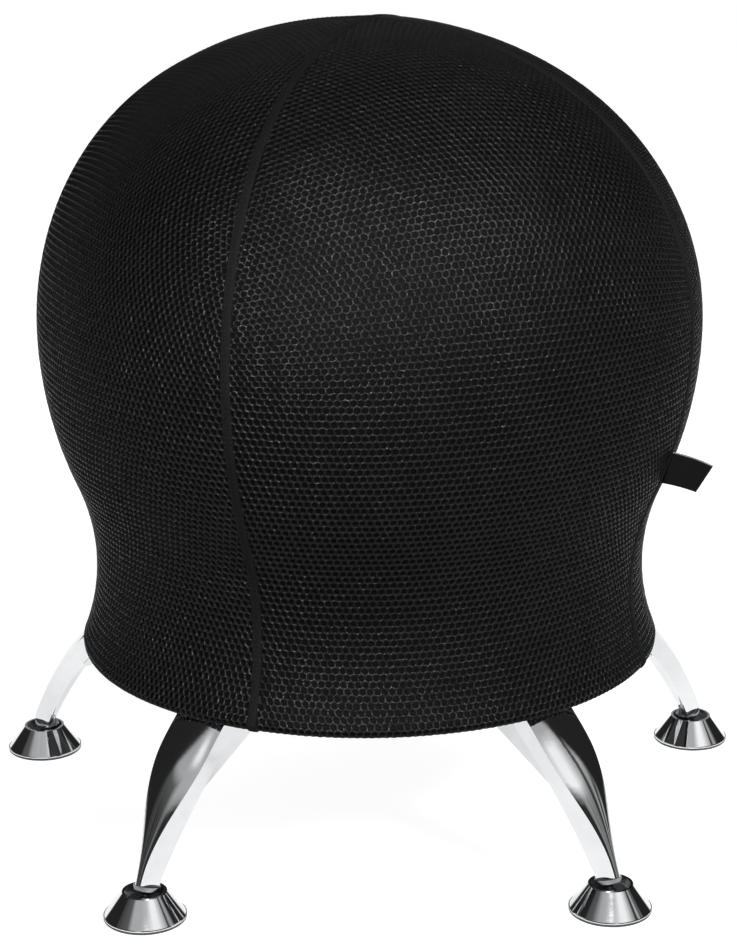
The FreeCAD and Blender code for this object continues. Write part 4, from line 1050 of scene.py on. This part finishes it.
@dataclass
class Studio:
    """White floor and background, soft lamps, and the panels, lamps and flags that bright metal mirrors.

    Fill is the light of the surroundings on the chair, glow the floor's own light as the camera sees it, and bounce
    the floor's tone for the chair's matt surfaces. The front panel is bounded by how steeply its direction leans
    back, the rear panel by bearing and rise.
    """

    fill: float = 0.18
    glow: float = 0.91
    paper: tuple[float, float] = (0.50, 0.54)
    bounce: float = 0.6
    panel_lean: tuple[float, float] = (0.5, -0.05)
    panel_edge: tuple[float, float] = (0.21, 0.29)
    panel_level: float = 0.5
    panel_foot: tuple[float, float] = (0.36, 0.60)
    streaks: float = 9.0
    streak_edge: tuple[float, float] = (0.40, 0.62)
    streak_level: tuple[float, float] = (0.05, 0.45)
    rear_panel: Patch = Patch(180.0, 26.0, 34.0, 0.6)
    rear_foot: tuple[float, float] = (0.2, 0.6)
    rear_level: tuple[float, float] = (0.1, 1.0)
    mirrored_lamps: tuple[MirroredLamp, ...] = (
        MirroredLamp(40.0, 8.0, 30.0, 0.65, low=0.52, high=0.90),
        MirroredLamp(-34.0, 3.0, 16.0, 0.7, low=0.74, high=0.94),
    )
    flags: tuple[Flag, ...] = (
        Flag(0.0, 34.0, 44.0, 0.08, top=0.44),
        Flag(-84.0, 28.0, 42.0, 0.22, top=0.62),
        Flag(77.0, 2.0, 5.0, 0.15, top=1.0),
    )
    horizon: tuple[float, float] = (0.0, 0.06)
    gloom: float = 0.02
    floor_size: float = 9.0
    lamps: tuple[Lamp, ...] = (
        Lamp("front_softbox", (1.35, -1.50, 1.60), (0.0, 0.0, 0.33), (0.50, 0.45), 24.0, mirrored=False),
        Lamp("front_spark", (0.10, -2.60, 1.72), (0.0, 0.0, 0.36), (0.12, 0.12), 520.0, diffuse=False),
        Lamp("rear_softbox", (-0.2, 2.2, 1.9), (0.0, 0.0, 0.30), (1.0, 0.7), 9.0, mirrored=False),
    )

    def floor(self) -> None:
        """A pale floor that reads white and keeps the chair's shadow; from below it is clear."""
        half = self.floor_size / 2
        points = np.array([(-half, -half, 0), (half, -half, 0), (half, half, 0), (-half, half, 0)], float)
        mesh = bpy.data.meshes.new("studio_floor")
        mesh.from_pydata(points, [], [(0, 1, 2, 3)])
        made = bpy.data.materials.new("floor_paper")
        made.use_nodes = True
        tree = made.node_tree
        tree.nodes.clear()
        grain = put(tree, "TexNoise", {"Scale": 400.0, "Detail": 2.0})
        darker, lighter = ((tone, tone, tone) for tone in self.paper)
        paper = put(tree, "BsdfDiffuse", {"Color": blended(tree, grain.outputs[0], darker, lighter)})
        glow = put(tree, "Emission", {"Color": (1, 1, 1, 1), "Strength": self.glow})
        both = put(tree, "AddShader", {0: paper.outputs[0], 1: glow.outputs[0]})
        rays = put(tree, "LightPath")
        seen = maths(tree, "ADD", rays.outputs["Is Camera Ray"], rays.outputs["Is Glossy Ray"])
        seen = maths(tree, "ADD", seen, rays.outputs["Is Transmission Ray"], clamp=True)
        plain = put(tree, "BsdfDiffuse", {"Color": (self.bounce, self.bounce, self.bounce, 1)})
        lit = put(tree, "MixShader", {0: seen, 1: plain.outputs[0], 2: both.outputs[0]})
        below = put(tree, "NewGeometry").outputs["Backfacing"]
        clear = put(tree, "BsdfTransparent")
        sided = put(tree, "MixShader", {0: below, 1: lit.outputs[0], 2: clear.outputs[0]})
        put(tree, "OutputMaterial", {"Surface": sided.outputs[0]})
        mesh.materials.append(made)
        floor = bpy.data.objects.new("studio_floor", mesh)
        bpy.context.scene.collection.objects.link(floor)

    def mirrored(self, tree: Tree) -> Socket:
        """What bright metal mirrors: soft panels in front and behind, two lamps, a pale horizon, else gloom."""
        way = put(tree, "SeparateXYZ", {0: put(tree, "TexCoord").outputs["Generated"]})
        right, back, up = (way.outputs[axis] for axis in "XYZ")
        bearing = maths(tree, "ARCTAN2", right, maths(tree, "MULTIPLY", back, -1.0))
        by_rise, by_side = self.panel_lean
        lean = maths(tree, "MULTIPLY_ADD", right, by_side, maths(tree, "MULTIPLY_ADD", up, by_rise, back))
        front = spread(tree, lean, *self.panel_edge, 1.0, 0.0)
        bars = put(tree, "TexNoise", {"W": bearing, "Scale": self.streaks, "Detail": 3.0}, noise_dimensions="1D")
        dim = spread(tree, bars.outputs[0], *self.streak_edge, *self.streak_level)
        shade = maths(tree, "MAXIMUM", spread(tree, up, *self.panel_foot, 0.0, self.panel_level), dim)
        for lamp in self.mirrored_lamps:
            shade = maths(tree, "ADD", shade, lamp.light(tree, bearing, up))
        for flag in self.flags:
            shade = maths(tree, "MULTIPLY", shade, flag.veil(tree, bearing, up))
        rear = self.rear_panel.across(tree, maths(tree, "ABSOLUTE", bearing), 0.0)
        rear = maths(tree, "MULTIPLY", rear, spread(tree, up, *self.rear_foot, *self.rear_level))
        low = spread(tree, up, *self.horizon, 1.0, self.gloom)
        bright = maths(tree, "MAXIMUM", maths(tree, "MULTIPLY", front, shade), rear)
        return maths(tree, "MAXIMUM", bright, low)

    def light(self) -> None:
        """Places the lamps and the white surroundings."""
        for lamp in self.lamps:
            data = bpy.data.lights.new(lamp.name, "AREA")
            data.shape, data.size, data.size_y, data.energy = "RECTANGLE", *lamp.size, lamp.watts
            made = bpy.data.objects.new(lamp.name, data)
            made.location = lamp.place
            way = Vector(lamp.aim) - Vector(lamp.place)
            made.rotation_euler = way.to_track_quat("-Z", "Y").to_euler()
            made.visible_diffuse, made.visible_glossy = lamp.diffuse, lamp.mirrored
            bpy.context.scene.collection.objects.link(made)
        world = bpy.data.worlds.new("studio_white")
        world.use_nodes = True
        tree = world.node_tree
        tree.nodes.clear()
        mirrored = self.mirrored(tree)
        rays = put(tree, "LightPath")
        plain = maths(tree, "ADD", rays.outputs["Is Camera Ray"], rays.outputs["Is Transmission Ray"], clamp=True)
        fill = spread(tree, plain, 0.0, 1.0, self.fill, 1.0)
        glossy = rays.outputs["Is Glossy Ray"]
        strength = maths(tree, "ADD", maths(tree, "MULTIPLY", glossy, mirrored),
                         maths(tree, "MULTIPLY", maths(tree, "SUBTRACT", 1.0, glossy), fill))
        back = put(tree, "Background", {"Color": (1, 1, 1, 1), "Strength": strength})
        put(tree, "OutputWorld", {"Surface": back.outputs[0]})
        bpy.context.scene.world = world

    def build(self) -> None:
        """Builds the studio and sets the plain view transform."""
        self.floor()
        self.light()
        bpy.context.scene.view_settings.view_transform = "Standard"


@dataclass
class ViewPoint:
    """The camera at the photograph's angle."""

    place: tuple[float, float, float] = (-0.035, -1.7485, 0.761)
    yaw: float = 1.15
    down: float = 16.52
    roll: float = -0.44
    lens: float = 96.74
    sensor: float = 36.0
    nearest: float = 0.05

    def build(self) -> None:
        """Makes the camera and sets it as the scene's."""
        yaw, down, roll = (math.radians(angle) for angle in (self.yaw, self.down, self.roll))
        ahead = Vector((math.sin(yaw) * math.cos(down), math.cos(yaw) * math.cos(down), -math.sin(down)))
        level = Vector((math.cos(yaw), -math.sin(yaw), 0))
        upright = level.cross(ahead)
        right = level * math.cos(roll) + upright * math.sin(roll)
        up = upright * math.cos(roll) - level * math.sin(roll)
        data = bpy.data.cameras.new("photo_view")
        data.lens, data.sensor_width, data.clip_start = self.lens, self.sensor, self.nearest
        made = bpy.data.objects.new("photo_view", data)
        turn = Matrix((right, up, -ahead)).transposed().to_4x4()
        made.matrix_world = Matrix.Translation(self.place) @ turn
        bpy.context.scene.collection.objects.link(made)
        bpy.context.scene.camera = made


def main() -> None:
    """Builds the camera, the studio and every piece, and logs what it made."""
    logging.basicConfig(level=logging.INFO, format="%(message)s")
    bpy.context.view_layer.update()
    ViewPoint().build()
    Studio().build()
    LOG.info("rigid parts dressed: %d", RigidParts().dress())
    cover = Cover()
    pieces = [InnerBall(cover.form).build(), Cradle(cover.form).build(), *cover.build()]
    for piece in pieces:
        LOG.info("%s: %d faces", piece.name, len(piece.data.polygons))


if __name__ == "__main__":
    main()
